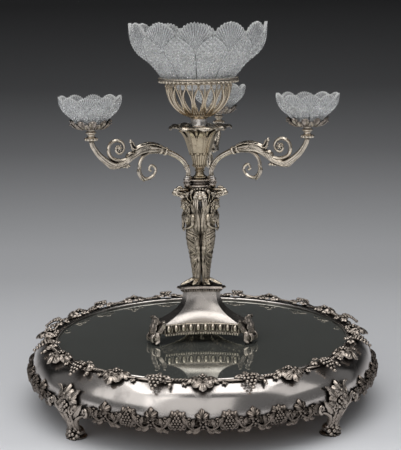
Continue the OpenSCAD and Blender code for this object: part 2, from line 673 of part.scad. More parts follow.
// Crossing straps in a spherical wall: lancets, slits beside them and gaps above are cut through
lancet_top = 0.80;      // where two straps cross, as a share of the basket's height
strap_lean = 0.5;       // how fast two straps part above their crossing
module basket_lattice() {
    pitch = 360 / lancets;
    low = basket_z + 4;
    cross_z = basket_z + lancet_top * basket_h;
    top = rim_z - 1.2;
    half = 0.42 * basket_r * sin(pitch / 2);
    over = 0.6 * strap_w;
    n = 7;
    lancet_z = function (t) low + strap_w + (cross_z - low - 2 * strap_w) * t;
    right = [for (i = [0 : n]) [half * sin(180 * i / n), lancet_z(i / n)]];
    slit_in = [for (i = [1 : n]) let (t = i / n) [half * sin(180 * t) + strap_w, low + (cross_z - low) * t]];
    slit_out = [for (z = [low + (cross_z - low) / n, cross_z - 4, top])
        [ball_r(z) * sin(pitch / 2) - 0.45 * strap_w, z]];
    vee = strap_lean * (top - cross_z);
    slit = concat(slit_in, [[vee + over, top]], reverse(slit_out));
    gap = [[0, cross_z + over / strap_lean], [vee - over, top], [over - vee, top]];
    color(silver) difference() {
        translate([0, 0, ball_z]) difference() {
            sphere(basket_r);
            sphere(basket_r - strap_t);
        }
        translate([-wide, -wide, rim_z]) cube(2 * wide);
        translate([-wide, -wide, basket_z - 2 * wide]) cube(2 * wide);
        for (i = [0 : lancets - 1]) rotate([90, 0, 90 + pitch * i]) linear_extrude(wide) {
            polygon(concat(right, [for (k = [n - 1 : -1 : 1]) [-right[k][0], right[k][1]]]));
            polygon(slit);
            polygon([for (p = slit) [-p[0], p[1]]]);
            polygon(gap);
        }
    }
}
bowl_foot_r = 38;
bowl_foot_drop = 20;
function bowl_line() = let (d = bowl_r - bowl_seat_r) curve([
    [bowl_foot_r, -bowl_foot_drop], [bowl_foot_r + 10, -rim_h - 2], [bowl_seat_r, 0],
    [bowl_seat_r + 0.36 * d, 0.25 * bowl_h], [bowl_seat_r + 0.78 * d, 0.46 * bowl_h],
    [bowl_r - 2, 0.70 * bowl_h], [bowl_r, bowl_h]], 5);
// Rim whose inner face follows the bowl's flank
module basket_rim() {
    flank = [for (p = beside(bowl_line(), -seat_gap)) if (p[1] > 0.2 - rim_h && p[1] < -0.2) p];
    top_in = bowl_seat_r + 2 * seat_gap;
    roll = curve([[basket_r + 1, -rim_h], [rim_r - 3, -0.8 * rim_h], [rim_r, -0.45 * rim_h],
        [rim_r - 2, -0.1 * rim_h], [top_in + 1, 0]], 4);
    color(silver) translate([0, 0, bowl_z])
        turned(concat([[basket_r - strap_t, -rim_h]], roll, [[top_in, 0]], reverse(flank)));
}
// A glass bowl from its outer line, with fan scallops round the mouth
tip_flat = 0.04;        // share of a scallop left flat at its tip
module glass_bowl(line, t, count, dip) {
    inner = beside(line, t);
    tip = line[len(line) - 1];
    pitch = 360 / count;
    half = (1 - tip_flat) * tip[0] * sin(pitch / 2);
    notch = [for (i = [-6 : 6]) let (u = i / 6, v = 1 - abs(u))
        [half * u, tip[1] - dip * (tip_flat + (1 - tip_flat) * (1 - sqrt(1 - v * v)))]];
    difference() {
        turned(concat([[0, line[0][1]]], line, reverse(inner), [[0, inner[0][1]]]));
        for (i = [0 : count - 1]) rotate([90, 0, pitch * (i + 0.5)]) translate([0, 0, tip[0] / 2])
            linear_extrude(tip[0]) polygon(concat(notch, [[half, tip[1] + dip], [-half, tip[1] + dip]]));
    }
}
module centre_bowl() {
    color(cut_glass) translate([0, 0, bowl_z]) glass_bowl(bowl_line(), bowl_t, bowl_scallops, bowl_dip);
}

// Branches

module at_branch(index) {
    rotate([0, 0, branch_angles[index]]) translate([socket_r, 0, 0])
        rotate([0, 0, index == 0 ? back_arm_swing : 0]) children();
}
module socket_sleeve(index) {
    sleeve_z = collar_z + socket_floor + fit_gap;
    color(silver) at_branch(index) difference() {
        union() {
            translate([0, 0, sleeve_z]) cylinder(r = sleeve_r, h = flange_z + 1 - sleeve_z);
            translate([0, 0, flange_z]) cylinder(r = sleeve_flange_r, h = sleeve_flange_t);
        }
        translate([0, 0, collar_z]) cylinder(r = spigot_r + slide_gap, h = 3 * collar_h);
    }
}
module branch_spigot(index) {
    tail_z = collar_z + socket_floor + 1;
    color(silver) at_branch(index) union() {
        translate([0, 0, tail_z]) cylinder(r = spigot_r, h = ferrule_z - tail_z + 1);
        translate([0, 0, ferrule_z]) cylinder(r = ferrule_r, h = ferrule_h);
    }
}
// Share of the reach and of the rise along the main stem
stem_form = [[0, 0], [0, 0.14], [0.05, 0.36], [0.12, 0.50], [0.23, 0.63], [0.35, 0.73], [0.48, 0.74],
    [0.58, 0.62], [0.67, 0.46], [0.78, 0.41], [0.90, 0.60], [0.975, 0.84], [1, 1]];
function on_arm(p) = [p[0] * arm_reach, p[1] * arm_rise];
module scroll_branch() {
    stem = curve([for (p = stem_form) on_arm(p)], 2);
    last = len(stem) - 1;
    swell = function (t, middle) exp(-pow((t - middle) / 0.12, 2));
    thick = [for (i = [0 : last]) let (t = i / last)
        arm_tube_r * (1 + 0.9 * swell(t, 0.45) + 0.35 * swell(t, 0.72))];
    turns = 22;
    upper = spiral(on_arm([0.745, 0.79]), 0.17 * arm_reach, 0.02 * arm_reach, -150, 420, turns);
    lower = spiral(on_arm([0.43, 0.23]), 0.22 * arm_reach, 0.02 * arm_reach, 100, -420, turns);
    slim = [for (i = [0 : turns]) arm_tube_r * (0.95 - 0.55 * i / turns)];
    at_stem = function (t) let (p = stem[round(t * last)]) [p[0], 0, p[1]];
    bud = [0.665 * arm_reach, 0, 0.40 * arm_rise];
    rod(stem, thick, 8);
    rod(upper, slim, 6);
    rod(lower, slim, 6);
    limb(at_stem(0.36), at_stem(0.40), 1.5 * arm_tube_r, 1.5 * arm_tube_r);
    limb(at_stem(0.55), [0.61 * arm_reach, 0, 0.90 * arm_rise], 4, 1.2);
    for (a = [0 : 60 : 300]) limb(bud, bud + [4 * cos(a), 4 * sin(a), -4], 2.2, 1.8);
}
module branch(index) {
    color(silver) at_branch(index) translate([0, 0, arm_z]) difference() {
        scroll_branch();
        translate([-wide, -wide, -2 * wide]) cube(2 * wide);
        translate([arm_reach - 10, -wide, arm_rise]) cube(2 * wide);
    }
}
module at_dish(index) {
    at_branch(index) translate([arm_reach, 0, 0]) children();
}
module nozzle(index) {
    h = nozzle_h;
    beads = 10;
    bore = cup_spigot_r + slide_gap;
    bore_l = cup_spigot_l + 1;
    color(silver) at_dish(index) translate([0, 0, nozzle_z]) union() {
        turned([[0, 0], [5, 0], [9, 0.1 * h], [9, 0.25 * h], [6, 0.4 * h], [6, 0.55 * h], [8.5, 0.62 * h],
            [8.5, 0.74 * h], [6, 0.82 * h], [7, h], [bore, h], [bore, h - bore_l], [0, h - bore_l]]);
        for (i = [0 : beads - 1]) rotate([0, 0, 360 * i / beads]) translate([9, 0, 0.18 * h]) sphere(1.8);
    }
}
// Leaf cup: a flat floor on the nozzle, a flaring wall with a notch between leaves and a hole in each
cup_leaves = 10;
function cup_line() = concat([[0, 0]],
    curve([[cup_floor_r, 0], [0.8 * cup_r, 0.36 * cup_h], [0.93 * cup_r, 0.66 * cup_h], [cup_r, cup_h]], 3));
module dish_holder(index) {
    line = cup_line();
    pitch = 360 / cup_leaves;
    color(silver) at_dish(index) translate([0, 0, cup_z]) difference() {
        union() {
            turned(concat(line, reverse(beside(line, cup_t))));
            translate([0, 0, -cup_spigot_l]) cylinder(r = cup_spigot_r, h = cup_spigot_l + cup_t / 2);
        }
        for (i = [0 : cup_leaves - 1]) rotate([0, 0, pitch * i]) {
            translate([cup_floor_r, 0, cup_h]) rotate([0, 90, 0]) cylinder(r = 0.13 * cup_r, h = cup_r);
            rotate([0, 0, pitch / 2]) translate([cup_floor_r, 0, 0.55 * cup_h]) rotate([0, 90, 0])
                cylinder(r = 0.09 * cup_r, h = cup_r);
        }
    }
}
dish_foot_r = 16;
function dish_line() = curve([[dish_foot_r, 0], [0.66 * cup_r, 0.36 * cup_h], [cup_r - cup_t - 1.2, cup_h],
    [cup_r + 0.55 * (dish_r - cup_r), 0.5 * dish_h], [dish_r - 1.5, 0.74 * dish_h], [dish_r, dish_h]], 5);
module dish(index) {
    color(cut_glass) at_dish(index) translate([0, 0, dish_z])
        glass_bowl(dish_line(), dish_t, dish_scallops, dish_dip);
}

plateau_skirt();
base_board();
board_screws();
mirror_plate();
mirror_bezel();
foot_nuts();
for (i = [0 : sections - 1]) {
    vine_border(i);
    foliage_border(i);
    plateau_foot(i);
}
pedestal_shell();
pedestal_ovolo();
cornice_plate();
capital();
branch_collar();
tie_rod();
rod_nut();
stem_spool();
calyx_body();
calyx_leaves();
basket_neck();
basket_lattice();
basket_rim();
centre_bowl();
for (i = [0 : 2]) {
    paw_foot(branch_angles[i]);
    figure(branch_angles[i]);
    socket_sleeve(i);
    branch_spigot(i);
    branch(i);
    nozzle(i);
    dish_holder(i);
    dish(i);
}
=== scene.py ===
import json
import math
import bpy
import bmesh
import numpy as np
from mathutils import Matrix, Vector


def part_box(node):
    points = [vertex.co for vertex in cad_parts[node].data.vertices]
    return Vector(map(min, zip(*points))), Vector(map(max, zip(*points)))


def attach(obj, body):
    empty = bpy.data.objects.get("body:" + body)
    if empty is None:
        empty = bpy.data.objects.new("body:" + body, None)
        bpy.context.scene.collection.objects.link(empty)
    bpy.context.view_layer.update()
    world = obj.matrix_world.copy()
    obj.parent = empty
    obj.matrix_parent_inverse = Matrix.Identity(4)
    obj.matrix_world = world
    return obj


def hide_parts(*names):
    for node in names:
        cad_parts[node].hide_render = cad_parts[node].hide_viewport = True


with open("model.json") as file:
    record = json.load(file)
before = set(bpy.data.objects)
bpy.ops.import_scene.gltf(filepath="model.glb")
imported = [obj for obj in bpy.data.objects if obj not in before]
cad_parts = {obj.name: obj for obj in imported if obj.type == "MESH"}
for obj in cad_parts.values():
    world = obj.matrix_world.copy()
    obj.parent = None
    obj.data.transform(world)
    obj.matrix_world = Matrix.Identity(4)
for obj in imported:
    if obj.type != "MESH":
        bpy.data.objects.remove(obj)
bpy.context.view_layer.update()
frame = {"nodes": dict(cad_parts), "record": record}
corners = ["right_back", "left_back", "left_front", "right_front"]
branches = {"back": 90, "left": 210, "right": 330}
rng = np.random.default_rng(7)


# small geometry helpers: a shape is (points, faces) in millimetres, and addPiece turns it into metres

def move(x=0, y=0, z=0):
    return np.array(Matrix.Translation((x, y, z)))


def spin(degrees, axis="Z"):
    return np.array(Matrix.Rotation(math.radians(degrees), 4, axis))


def grow(x, y=None, z=None):
    return np.diag([x, x if y is None else y, x if z is None else z, 1.0])


def placed(shape, *steps):  # the last step is applied first
    points, faces = shape
    m = np.linalg.multi_dot(steps) if len(steps) > 1 else steps[0]
    return points @ m[:3, :3].T + m[:3, 3], faces


def merged(shapes):
    points, faces, count = [], [], 0
    for p, f in shapes:
        points.append(p)
        faces += [[i + count for i in face] for face in f]
        count += len(p)
    return np.vstack(points), faces


def gridShape(rows, capFirst=False, capLast=False, loopRows=False):  # rows of closed rings
    rows = np.asarray(rows, float)
    n, m = rows.shape[:2]
    ids = np.arange(n * m).reshape(n, m)
    nxt = np.roll(ids, -1, axis=1)
    upper, upperNxt = (np.roll(ids, -1, 0), np.roll(nxt, -1, 0)) if loopRows else (ids[1:], nxt[1:])
    lower, lowerNxt = (ids, nxt) if loopRows else (ids[:-1], nxt[:-1])
    faces = np.stack([lower, lowerNxt, upperNxt, upper], -1).reshape(-1, 4).tolist()
    points = rows.reshape(-1, 3)
    for wanted, ring, turn in ((capFirst, 0, -1), (capLast, n - 1, 1)):
        if wanted:
            hub = len(points)
            points = np.vstack([points, rows[ring].mean(0)])
            faces += [[hub, a, b][::turn] for a, b in zip(ids[ring].tolist(), nxt[ring].tolist())]
    return points, faces


def lathe(profile, segments, lobes=None):  # lobes(angle, k) gives a factor on the radius at profile point k
    profile = np.asarray(profile, float)
    a = np.linspace(0, 2 * math.pi, segments, endpoint=False)
    rows = []
    for k, (r, z) in enumerate(profile):
        radius = r * (lobes(a, k) if lobes else np.ones_like(a))
        rows.append(np.stack([radius * np.cos(a), radius * np.sin(a), np.full_like(a, z)], -1))
    closed = np.allclose(profile[0], profile[-1])
    rows = np.array(rows[:-1] if closed else rows)
    return gridShape(rows, capFirst=not closed, capLast=not closed, loopRows=closed)


def smoothLine(points, steps):  # Catmull-Rom through given points
    p = np.asarray(points, float)
    q = np.vstack([2 * p[0] - p[1], p, 2 * p[-1] - p[-2]])
    t = np.linspace(0, 1, steps, endpoint=False)[:, None]
    out = []
    for a, b, c, d in zip(q, q[1:], q[2:], q[3:]):
        second, third = (2 * a - 5 * b + 4 * c - d) * t ** 2, (3 * b - a - 3 * c + d) * t ** 3
        out.append(0.5 * (2 * b + (c - a) * t + second + third))
    return np.vstack(out + [p[-1:]])


def spiralLine(centre, r0, r1, start, end, steps):  # in a plane, log spiral
    t = np.linspace(0, 1, steps + 1)
    a = np.radians(start + (end - start) * t)
    r = r0 * (r1 / r0) ** t
    return np.stack([centre[0] + r * np.cos(a), centre[1] + r * np.sin(a)], -1)


def unit(v):
    return v / np.maximum(np.linalg.norm(v, axis=-1, keepdims=True), 1e-9)


def frames(path, up):  # side and normal along a path
    tangent = unit(np.gradient(path, axis=0))
    side = unit(np.cross(np.broadcast_to(up, tangent.shape), tangent))
    return side, np.cross(tangent, side)


def taper(path, shares, radii):  # thickness along a path, given at a few shares of its length
    return np.interp(np.linspace(0, 1, len(path)), shares, radii)


def sweep(path, radius, sides=10, up=(0, 1, 0), flutes=0, depth=0.0, twist=0.0, flat=1.0):
    path = np.asarray(path, float)
    radius = np.broadcast_to(np.asarray(radius, float), (len(path),))
    side, normal = frames(path, np.asarray(up, float))
    a = np.linspace(0, 2 * math.pi, sides, endpoint=False)
    run = np.linspace(0, 1, len(path))
    rows = []
    for k in range(len(path)):
        r = radius[k] * (1 + depth * np.cos(flutes * (a + twist * run[k])))
        rows.append(path[k] + np.outer(r * np.cos(a) * flat, side[k]) + np.outer(r * np.sin(a), normal[k]))
    return gridShape(rows, True, True)


def rope(path, radius, turns, sides=8, up=(0, 1, 0)):  # two strands twisted round each other
    path = np.asarray(path, float)
    side, normal = frames(path, np.asarray(up, float))
    a = np.linspace(0, 2 * math.pi * turns, len(path))[:, None]
    strand = radius * 0.62
    around = [np.cos(a + o) * side + np.sin(a + o) * normal for o in (0, math.pi)]
    return merged([sweep(path + strand * out, strand, sides, up) for out in around])


def ball(radius, detail=2, squash=1.0):
    bm = bmesh.new()
    bmesh.ops.create_icosphere(bm, subdivisions=detail, radius=radius)
    points = np.array([v.co for v in bm.verts]) * [1, 1, squash]
    faces = [[v.index for v in f.verts] for f in bm.faces]
    bm.free()
    return points, faces


def bothFaces(top, under):  # shares of the way out, over the top face and back below it
    return [(s, 1) for s in top] + [(s, 0) for s in under]


# five lobes with raised veins, stalk at the origin, tip along +X
def vineLeaf(size, thick, cup=0.10, detail=60):
    a = np.linspace(0, 2 * math.pi, detail, endpoint=False)
    lobe = np.abs(np.cos(2.5 * a))
    edge = size * (0.30 + 0.20 * lobe ** 0.8) * (1 + 0.05 * np.cos(15 * a))
    rows = []
    for s, face in bothFaces((0.02, 0.2, 0.4, 0.6, 0.8, 0.93, 1.0), (0.97, 0.5, 0.02)):
        vein = np.maximum(lobe ** 10, 0.5 * np.abs(np.sin(7.5 * a + 6 * s)) ** 4)
        dome = size * (cup * (1 - s * s) - 0.9 * cup * s ** 4 * lobe)
        z = dome + face * thick * (0.55 + 0.9 * vein * (1 - s) ** 0.4)
        rows.append(np.stack([0.46 * size + s * edge * np.cos(a), 0.92 * s * edge * np.sin(a), z], -1))
    return gridShape(rows, True, True)


# acanthus blade along a path
def longLeaf(path, width, thick, up=(0, 1, 0), lobes=4, rib=0.35, bite=0.3, across=14, tip=0.8):
    path = np.asarray(path, float)
    side, normal = frames(path, np.asarray(up, float))
    run = np.linspace(0, 1, len(path))
    saw = (run * lobes) % 1.0
    swell = np.sin(math.pi * (0.10 + 0.90 * run) ** tip) ** 0.65
    half = 0.5 * width * swell * (1 - bite * saw ** 1.5) + 0.04 * width
    u = np.linspace(-1, 1, across)
    ring = np.concatenate([u, u[::-1][1:-1]])
    top = np.concatenate([np.ones(across), np.zeros(across - 2)])
    rows = []
    for k in range(len(path)):
        furrow = 0.16 * np.cos(3 * math.pi * np.abs(ring)) * (1 - run[k])
        veins = 0.12 * np.cos(math.pi * np.abs(ring) * 5 + 5 * saw[k])
        height = half[k] * (rib * (1 - np.abs(ring)) ** 1.3 - 0.25 * rib) + thick * (furrow + veins)
        rows.append(path[k] + np.outer(ring * half[k], side[k])
                    + np.outer(height + thick * (top - 0.5), normal[k]))
    return gridShape(rows, True, True)


def grapes(layout, radius, detail=2):
    return merged([placed(ball(radius * k, detail), move(x, y, z)) for x, y, z, k in layout])


def addPiece(name, shape, finish, body, nodes=(), flat=False, cuts=None):
    points, faces = shape
    mesh = bpy.data.meshes.new(name)
    mesh.from_pydata((points * 0.001).tolist(), [], faces)
    bm = bmesh.new()
    bm.from_mesh(mesh)
    bmesh.ops.recalc_face_normals(bm, faces=bm.faces)
    bm.to_mesh(mesh)
    bm.free()
    mesh.polygons.foreach_set("use_smooth", [not flat] * len(mesh.polygons))
    mesh.materials.append(finishes[finish])
    if cuts is not None:
        mesh.attributes.new("cut", "FLOAT", "POINT").data.foreach_set("value", cuts)
    piece = bpy.data.objects.new(name, mesh)
    bpy.context.scene.collection.objects.link(piece)
    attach(piece, body)
    if nodes:
        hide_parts(*nodes)
    return piece


def creased(piece, degrees=35):  # keeps turned edges crisp
    piece.data.set_sharp_from_angle(angle=math.radians(degrees))
    return piece


# shader groups and materials

def newGroup(name, inputs, outputs):  # all its sockets are single values
    group = bpy.data.node_groups.new(name, "ShaderNodeTree")
    for label, value in inputs.items():
        group.interface.new_socket(label, in_out="INPUT", socket_type="NodeSocketFloat").default_value = value
    for label in outputs:
        group.interface.new_socket(label, in_out="OUTPUT", socket_type="NodeSocketFloat")
    return group, group.nodes.new("NodeGroupInput").outputs, group.nodes.new("NodeGroupOutput")


def wire(tree, node, inputs):  # each input takes a link or a plain value
    for socket, source in inputs.items():
        if hasattr(source, "is_output"):
            tree.links.new(source, node.inputs[socket])
        else:
            node.inputs[socket].default_value = source


def addNode(tree, kind, inputs=None, **values):
    node = tree.nodes.new(kind)
    for key, value in values.items():
        setattr(node, key, value)
    wire(tree, node, inputs or {})
    return node


def objectPlace(tree):
    return addNode(tree, "ShaderNodeTexCoord").outputs["Object"]


def noise(tree, place, scale, detail, rough=0.5, distortion=0.0):
    inputs = {"Vector": place, "Scale": scale, "Detail": detail, "Roughness": rough, "Distortion": distortion}
    return addNode(tree, "ShaderNodeTexNoise", inputs).outputs["Fac"]


def mathNode(tree, operation, *values, clamp=False):
    node = addNode(tree, "ShaderNodeMath", dict(enumerate(values)), operation=operation, use_clamp=clamp)
    return node.outputs[0]


def mapRange(tree, value, low=0.0, high=1.0, to=(0.0, 1.0)):
    inputs = {"Value": value, "From Min": low, "From Max": high, "To Min": to[0], "To Max": to[1]}
    return addNode(tree, "ShaderNodeMapRange", inputs).outputs[0]


def mixColour(tree, factor, first, second):  # a colour is (r, g, b) or a socket
    ends = [end if hasattr(end, "is_output") else (*end, 1) for end in (first, second)]
    inputs = {"Factor": factor, "A": ends[0], "B": ends[1]}
    return addNode(tree, "ShaderNodeMix", inputs, data_type="RGBA").outputs["Result"]


def hollowsGroup():  # dark oxide in the hollows of cast work, with painted shade: it darkens wherever ambient occlusion finds parts close together
    v = dict(samples=6, detail=4.0, shut=0.90, clear=1.46)
    group, inp, out = newGroup("hollows", {"Reach": 0.006, "Depth": 1.0, "Patch Scale": 60.0}, ["Mask"])
    shade = addNode(group, "ShaderNodeAmbientOcclusion", {"Distance": inp["Reach"]}, samples=v["samples"])
    patches = noise(group, objectPlace(group), inp["Patch Scale"], v["detail"])
    exposed = mathNode(group, "ADD", shade.outputs["AO"], patches)
    sunk = mapRange(group, exposed, v["shut"], v["clear"], (1.0, 0.0))
    wire(group, out, {"Mask": mathNode(group, "MULTIPLY", sunk, inp["Depth"], clamp=True)})
    return group


def handlingGroup():  # cloudy polish, fine scratches and small dents
    v = dict(stretch=(1.0, 0.15, 0.4), lean=(0.3, 0.5, 0.7), dents=45.0)
    group, inp, out = newGroup("handling", {"Cloud Scale": 30.0, "Scratch Scale": 900.0}, ["Cloud", "Height"])
    place = objectPlace(group)
    cloud = noise(group, place, inp["Cloud Scale"], 5.0, rough=0.6)
    along = addNode(group, "ShaderNodeMapping", {"Vector": place, "Scale": v["stretch"],
                                                 "Rotation": v["lean"]})
    scratches = noise(group, along.outputs[0], inp["Scratch Scale"], 2.0)
    dents = noise(group, place, v["dents"], 1.0)
    wire(group, out, {"Cloud": cloud, "Height": mathNode(group, "ADD", scratches, dents)})
    return group


hollows = hollowsGroup()
handling = handlingGroup()
dentHeight = 0.0003  # metres
oxideDull = 0.35  # roughness that the oxide adds


def newMaterial(name):
    material = bpy.data.materials.new(name)
    material.use_nodes = True
    tree = material.node_tree
    return material, tree, tree.nodes["Principled BSDF"]


def handled(tree, cloudScale):
    return addNode(tree, "ShaderNodeGroup", {"Cloud Scale": cloudScale}, node_tree=handling).outputs


def bumped(tree, height, strength, distance):
    inputs = {"Height": height, "Strength": strength, "Distance": distance}
    return addNode(tree, "ShaderNodeBump", inputs).outputs[0]


def silverFinish(name, v):
    material, tree, shader = newMaterial(name)
    hollow = {"Reach": v["reach"], "Depth": v["depth"], "Patch Scale": v["patch"]}
    # painted shade with real oxide: the colour darkens where parts sit close together
    dark = addNode(tree, "ShaderNodeGroup", hollow, node_tree=hollows).outputs["Mask"]
    hand = handled(tree, v["cloud"])
    tone = mixColour(tree, hand["Cloud"], v["bright"], v["warm"])
    rough = mapRange(tree, hand["Cloud"], 0.3, 0.7, v["rough"])
    wire(tree, shader, {"Base Color": mixColour(tree, dark, tone, v["oxideAndShade"]), "Metallic": 1.0,
                        "Roughness": mathNode(tree, "MULTIPLY_ADD", dark, oxideDull, rough, clamp=True),
                        "Normal": bumped(tree, hand["Height"], v["bump"], dentHeight)})
    return material


silverLooks = {
    "polishedSilver": dict(bright=(0.86, 0.815, 0.77), warm=(0.73, 0.665, 0.61), oxideAndShade=(0.05, 0.035, 0.025),
                           reach=0.007, depth=0.6, patch=25.0, cloud=14.0, rough=(0.14, 0.24), bump=0.06),
    # the skirt's long reach darkens it under the vine border: painted shade and painted reflection of the
    # ornaments, with some tarnish
    "wornSilver": dict(bright=(0.80, 0.75, 0.71), warm=(0.64, 0.585, 0.545), oxideAndShade=(0.05, 0.04, 0.035),
                       reach=0.024, depth=1.1, patch=25.0, cloud=14.0, rough=(0.11, 0.19), bump=0.07),
    "pedestalSilver": dict(bright=(0.68, 0.63, 0.585), warm=(0.48, 0.435, 0.395), oxideAndShade=(0.10, 0.075, 0.06),
                           reach=0.010, depth=0.7, patch=60.0, cloud=30.0, rough=(0.20, 0.30), bump=0.08),
    "castSilver": dict(bright=(0.70, 0.62, 0.55), warm=(0.36, 0.30, 0.25), oxideAndShade=(0.010, 0.007, 0.005),
                       reach=0.008, depth=1.25, patch=95.0, cloud=70.0, rough=(0.15, 0.28), bump=0.12),
    # darkCast is a darker copy of castSilver for the foliage border: partly painted shade, as the border
    # faces the shadowed floor, partly darker oxidised metal
    "darkCast": dict(bright=(0.35, 0.295, 0.255), warm=(0.14, 0.115, 0.095), oxideAndShade=(0.008, 0.006, 0.004),
                     reach=0.009, depth=1.3, patch=95.0, cloud=70.0, rough=(0.14, 0.27), bump=0.12),
    "branchSilver": dict(bright=(0.92, 0.83, 0.71), warm=(0.62, 0.53, 0.42), oxideAndShade=(0.020, 0.014, 0.009),
                         reach=0.005, depth=1.0, patch=80.0, cloud=45.0, rough=(0.15, 0.26), bump=0.10),
    "strapSilver": dict(bright=(0.84, 0.735, 0.59), warm=(0.48, 0.395, 0.285), oxideAndShade=(0.03, 0.02, 0.012),
                        reach=0.004, depth=0.7, patch=60.0, cloud=40.0, rough=(0.14, 0.24), bump=0.08),
    "figureSilver": dict(bright=(0.66, 0.575, 0.46), warm=(0.50, 0.425, 0.325), oxideAndShade=(0.012, 0.008, 0.005),
                         reach=0.006, depth=1.3, patch=45.0, cloud=35.0, rough=(0.17, 0.27), bump=0.08),
    "gildedSilver": dict(bright=(0.60, 0.515, 0.385), warm=(0.36, 0.29, 0.195), oxideAndShade=(0.022, 0.014, 0.008),
                         reach=0.005, depth=1.0, patch=60.0, cloud=40.0, rough=(0.17, 0.30), bump=0.10)}
finishes = {name: silverFinish(name, look) for name, look in silverLooks.items()}
plainGlass = 0.15


def glassFinish():  # "cut" is 0 in the deep mitres, which take a painted dark shade, plainGlass where uncut, and 1 on the rougher facets, mitre edges and rim, which take painted white glints and highlights
    v = dict(mitreShade=(0.22, 0.23, 0.24), clearTint=(0.90, 0.905, 0.91), glintTint=(1.0, 1.0, 0.985),
             rough=(0.01, 0.05), ground=0.5, grime=140.0, clear=0.74, ior=1.52)
    material, tree, shader = newMaterial("cutGlass")
    grime = mapRange(tree, handled(tree, v["grime"])["Cloud"], 0.45, 0.8, v["rough"])
    cut = addNode(tree, "ShaderNodeAttribute", attribute_name="cut").outputs["Fac"]
    tint = addNode(tree, "ShaderNodeValToRGB", {"Fac": cut})
    tint.color_ramp.elements.new(plainGlass)
    for stop, colour in zip(tint.color_ramp.elements, (v["mitreShade"], v["clearTint"], v["glintTint"])):
        stop.color = (*colour, 1)
    rough = mathNode(tree, "MULTIPLY_ADD", cut, v["ground"], grime, clamp=True)
    wire(tree, shader, {"Base Color": tint.outputs["Color"], "Roughness": rough, "IOR": v["ior"],
                        "Transmission Weight": v["clear"]})
    return material


def mirrorFinish():
    v = dict(clear=(0.57, 0.59, 0.55), aged=(0.46, 0.48, 0.44), spot=(0.12, 0.11, 0.09), silvering=0.88,
             cloud=9.0, specks=320.0, rough=(0.01, 0.05))
    material, tree, shader = newMaterial("oldMirror")
    cloud = handled(tree, v["cloud"])["Cloud"]
    tone = mixColour(tree, cloud, v["clear"], v["aged"])
    few = mapRange(tree, noise(tree, objectPlace(tree), v["specks"], 2.0), 0.74, 0.80)
    wire(tree, shader, {"Base Color": mixColour(tree, few, tone, v["spot"]), "Metallic": v["silvering"],
                        "Roughness": mapRange(tree, cloud, to=v["rough"])})
    return material


def oakFinish():
    v = dict(light=(0.30, 0.18, 0.09), dark=(0.13, 0.07, 0.035), stretch=(1.2, 22.0, 8.0), grain=9.0,
             bump=0.3, pore=0.001, rough=0.6)
    material, tree, shader = newMaterial("oakBoard")
    along = addNode(tree, "ShaderNodeMapping", {"Vector": objectPlace(tree), "Scale": v["stretch"]})
    grain = noise(tree, along.outputs[0], v["grain"], 8.0, distortion=0.6)
    wire(tree, shader, {"Base Color": mixColour(tree, grain, v["light"], v["dark"]), "Roughness": v["rough"],
                        "Normal": bumped(tree, grain, v["bump"], v["pore"])})
    return material


def steelFinish():
    v = dict(clean=(0.48, 0.47, 0.46), rust=(0.20, 0.12, 0.07), cloud=120.0, bump=0.2, rough=0.38)
    material, tree, shader = newMaterial("plainSteel")
    hand = handled(tree, v["cloud"])
    spots = mapRange(tree, hand["Cloud"], 0.55, 0.7)
    wire(tree, shader, {"Base Color": mixColour(tree, spots, v["clean"], v["rust"]), "Metallic": 1.0,
                        "Roughness": v["rough"],
                        "Normal": bumped(tree, hand["Height"], v["bump"], dentHeight)})
    return material


finishes.update(cutGlass=glassFinish(), oldMirror=mirrorFinish(), oakBoard=oakFinish(),
                plainSteel=steelFinish())
slotFinish = {"silver": "polishedSilver", "cast_silver": "castSilver", "cut_glass": "cutGlass",
              "mirror": "oldMirror", "board": "oakBoard", "steel": "plainSteel"}
for part in frame["record"]["subparts"]:  # every CAD node, shown or not, gets its finish
    cadObject = frame["nodes"][part["node"]]
    cadObject.data.materials.clear()
    cadObject.data.materials.append(finishes[slotFinish[part["material_slot"]]])
print("finishes ready")


# camera, floor sweep and studio light

view = dict(distance=1.8103, height=0.6315, pitch=10.31, roll=-0.8, focalPixels=1069.5,
            imageHeight=450, sensor=36.0)
cameraData = bpy.data.cameras.new("photoCamera")
cameraData.sensor_width = view["sensor"]
cameraData.lens = view["focalPixels"] / view["imageHeight"] * view["sensor"]
cameraObject = bpy.data.objects.new("photoCamera", cameraData)
cameraObject.matrix_world = Matrix((move(0, -view["distance"], view["height"]) @ spin(90 - view["pitch"], "X")
                                    @ spin(view["roll"], "Z")).tolist())
bpy.context.scene.collection.objects.link(cameraObject)
bpy.context.scene.camera = cameraObject

sweepSize = dict(front=-3.0, bend=0.9, radius=0.9, top=4.0, halfWidth=4.0)
# painted shade: the grey falls from pale at the front of the floor to nearly black at the top of the
# backdrop, where the studio light falls off
# distance back plus height, and grey
sweepTones = [(-0.40, 0.98), (-0.22, 0.74), (0.19, 0.65), (0.87, 0.50), (1.16, 0.43), (1.47, 0.295),
              (1.80, 0.146), (2.13, 0.057), (2.50, 0.0175)]


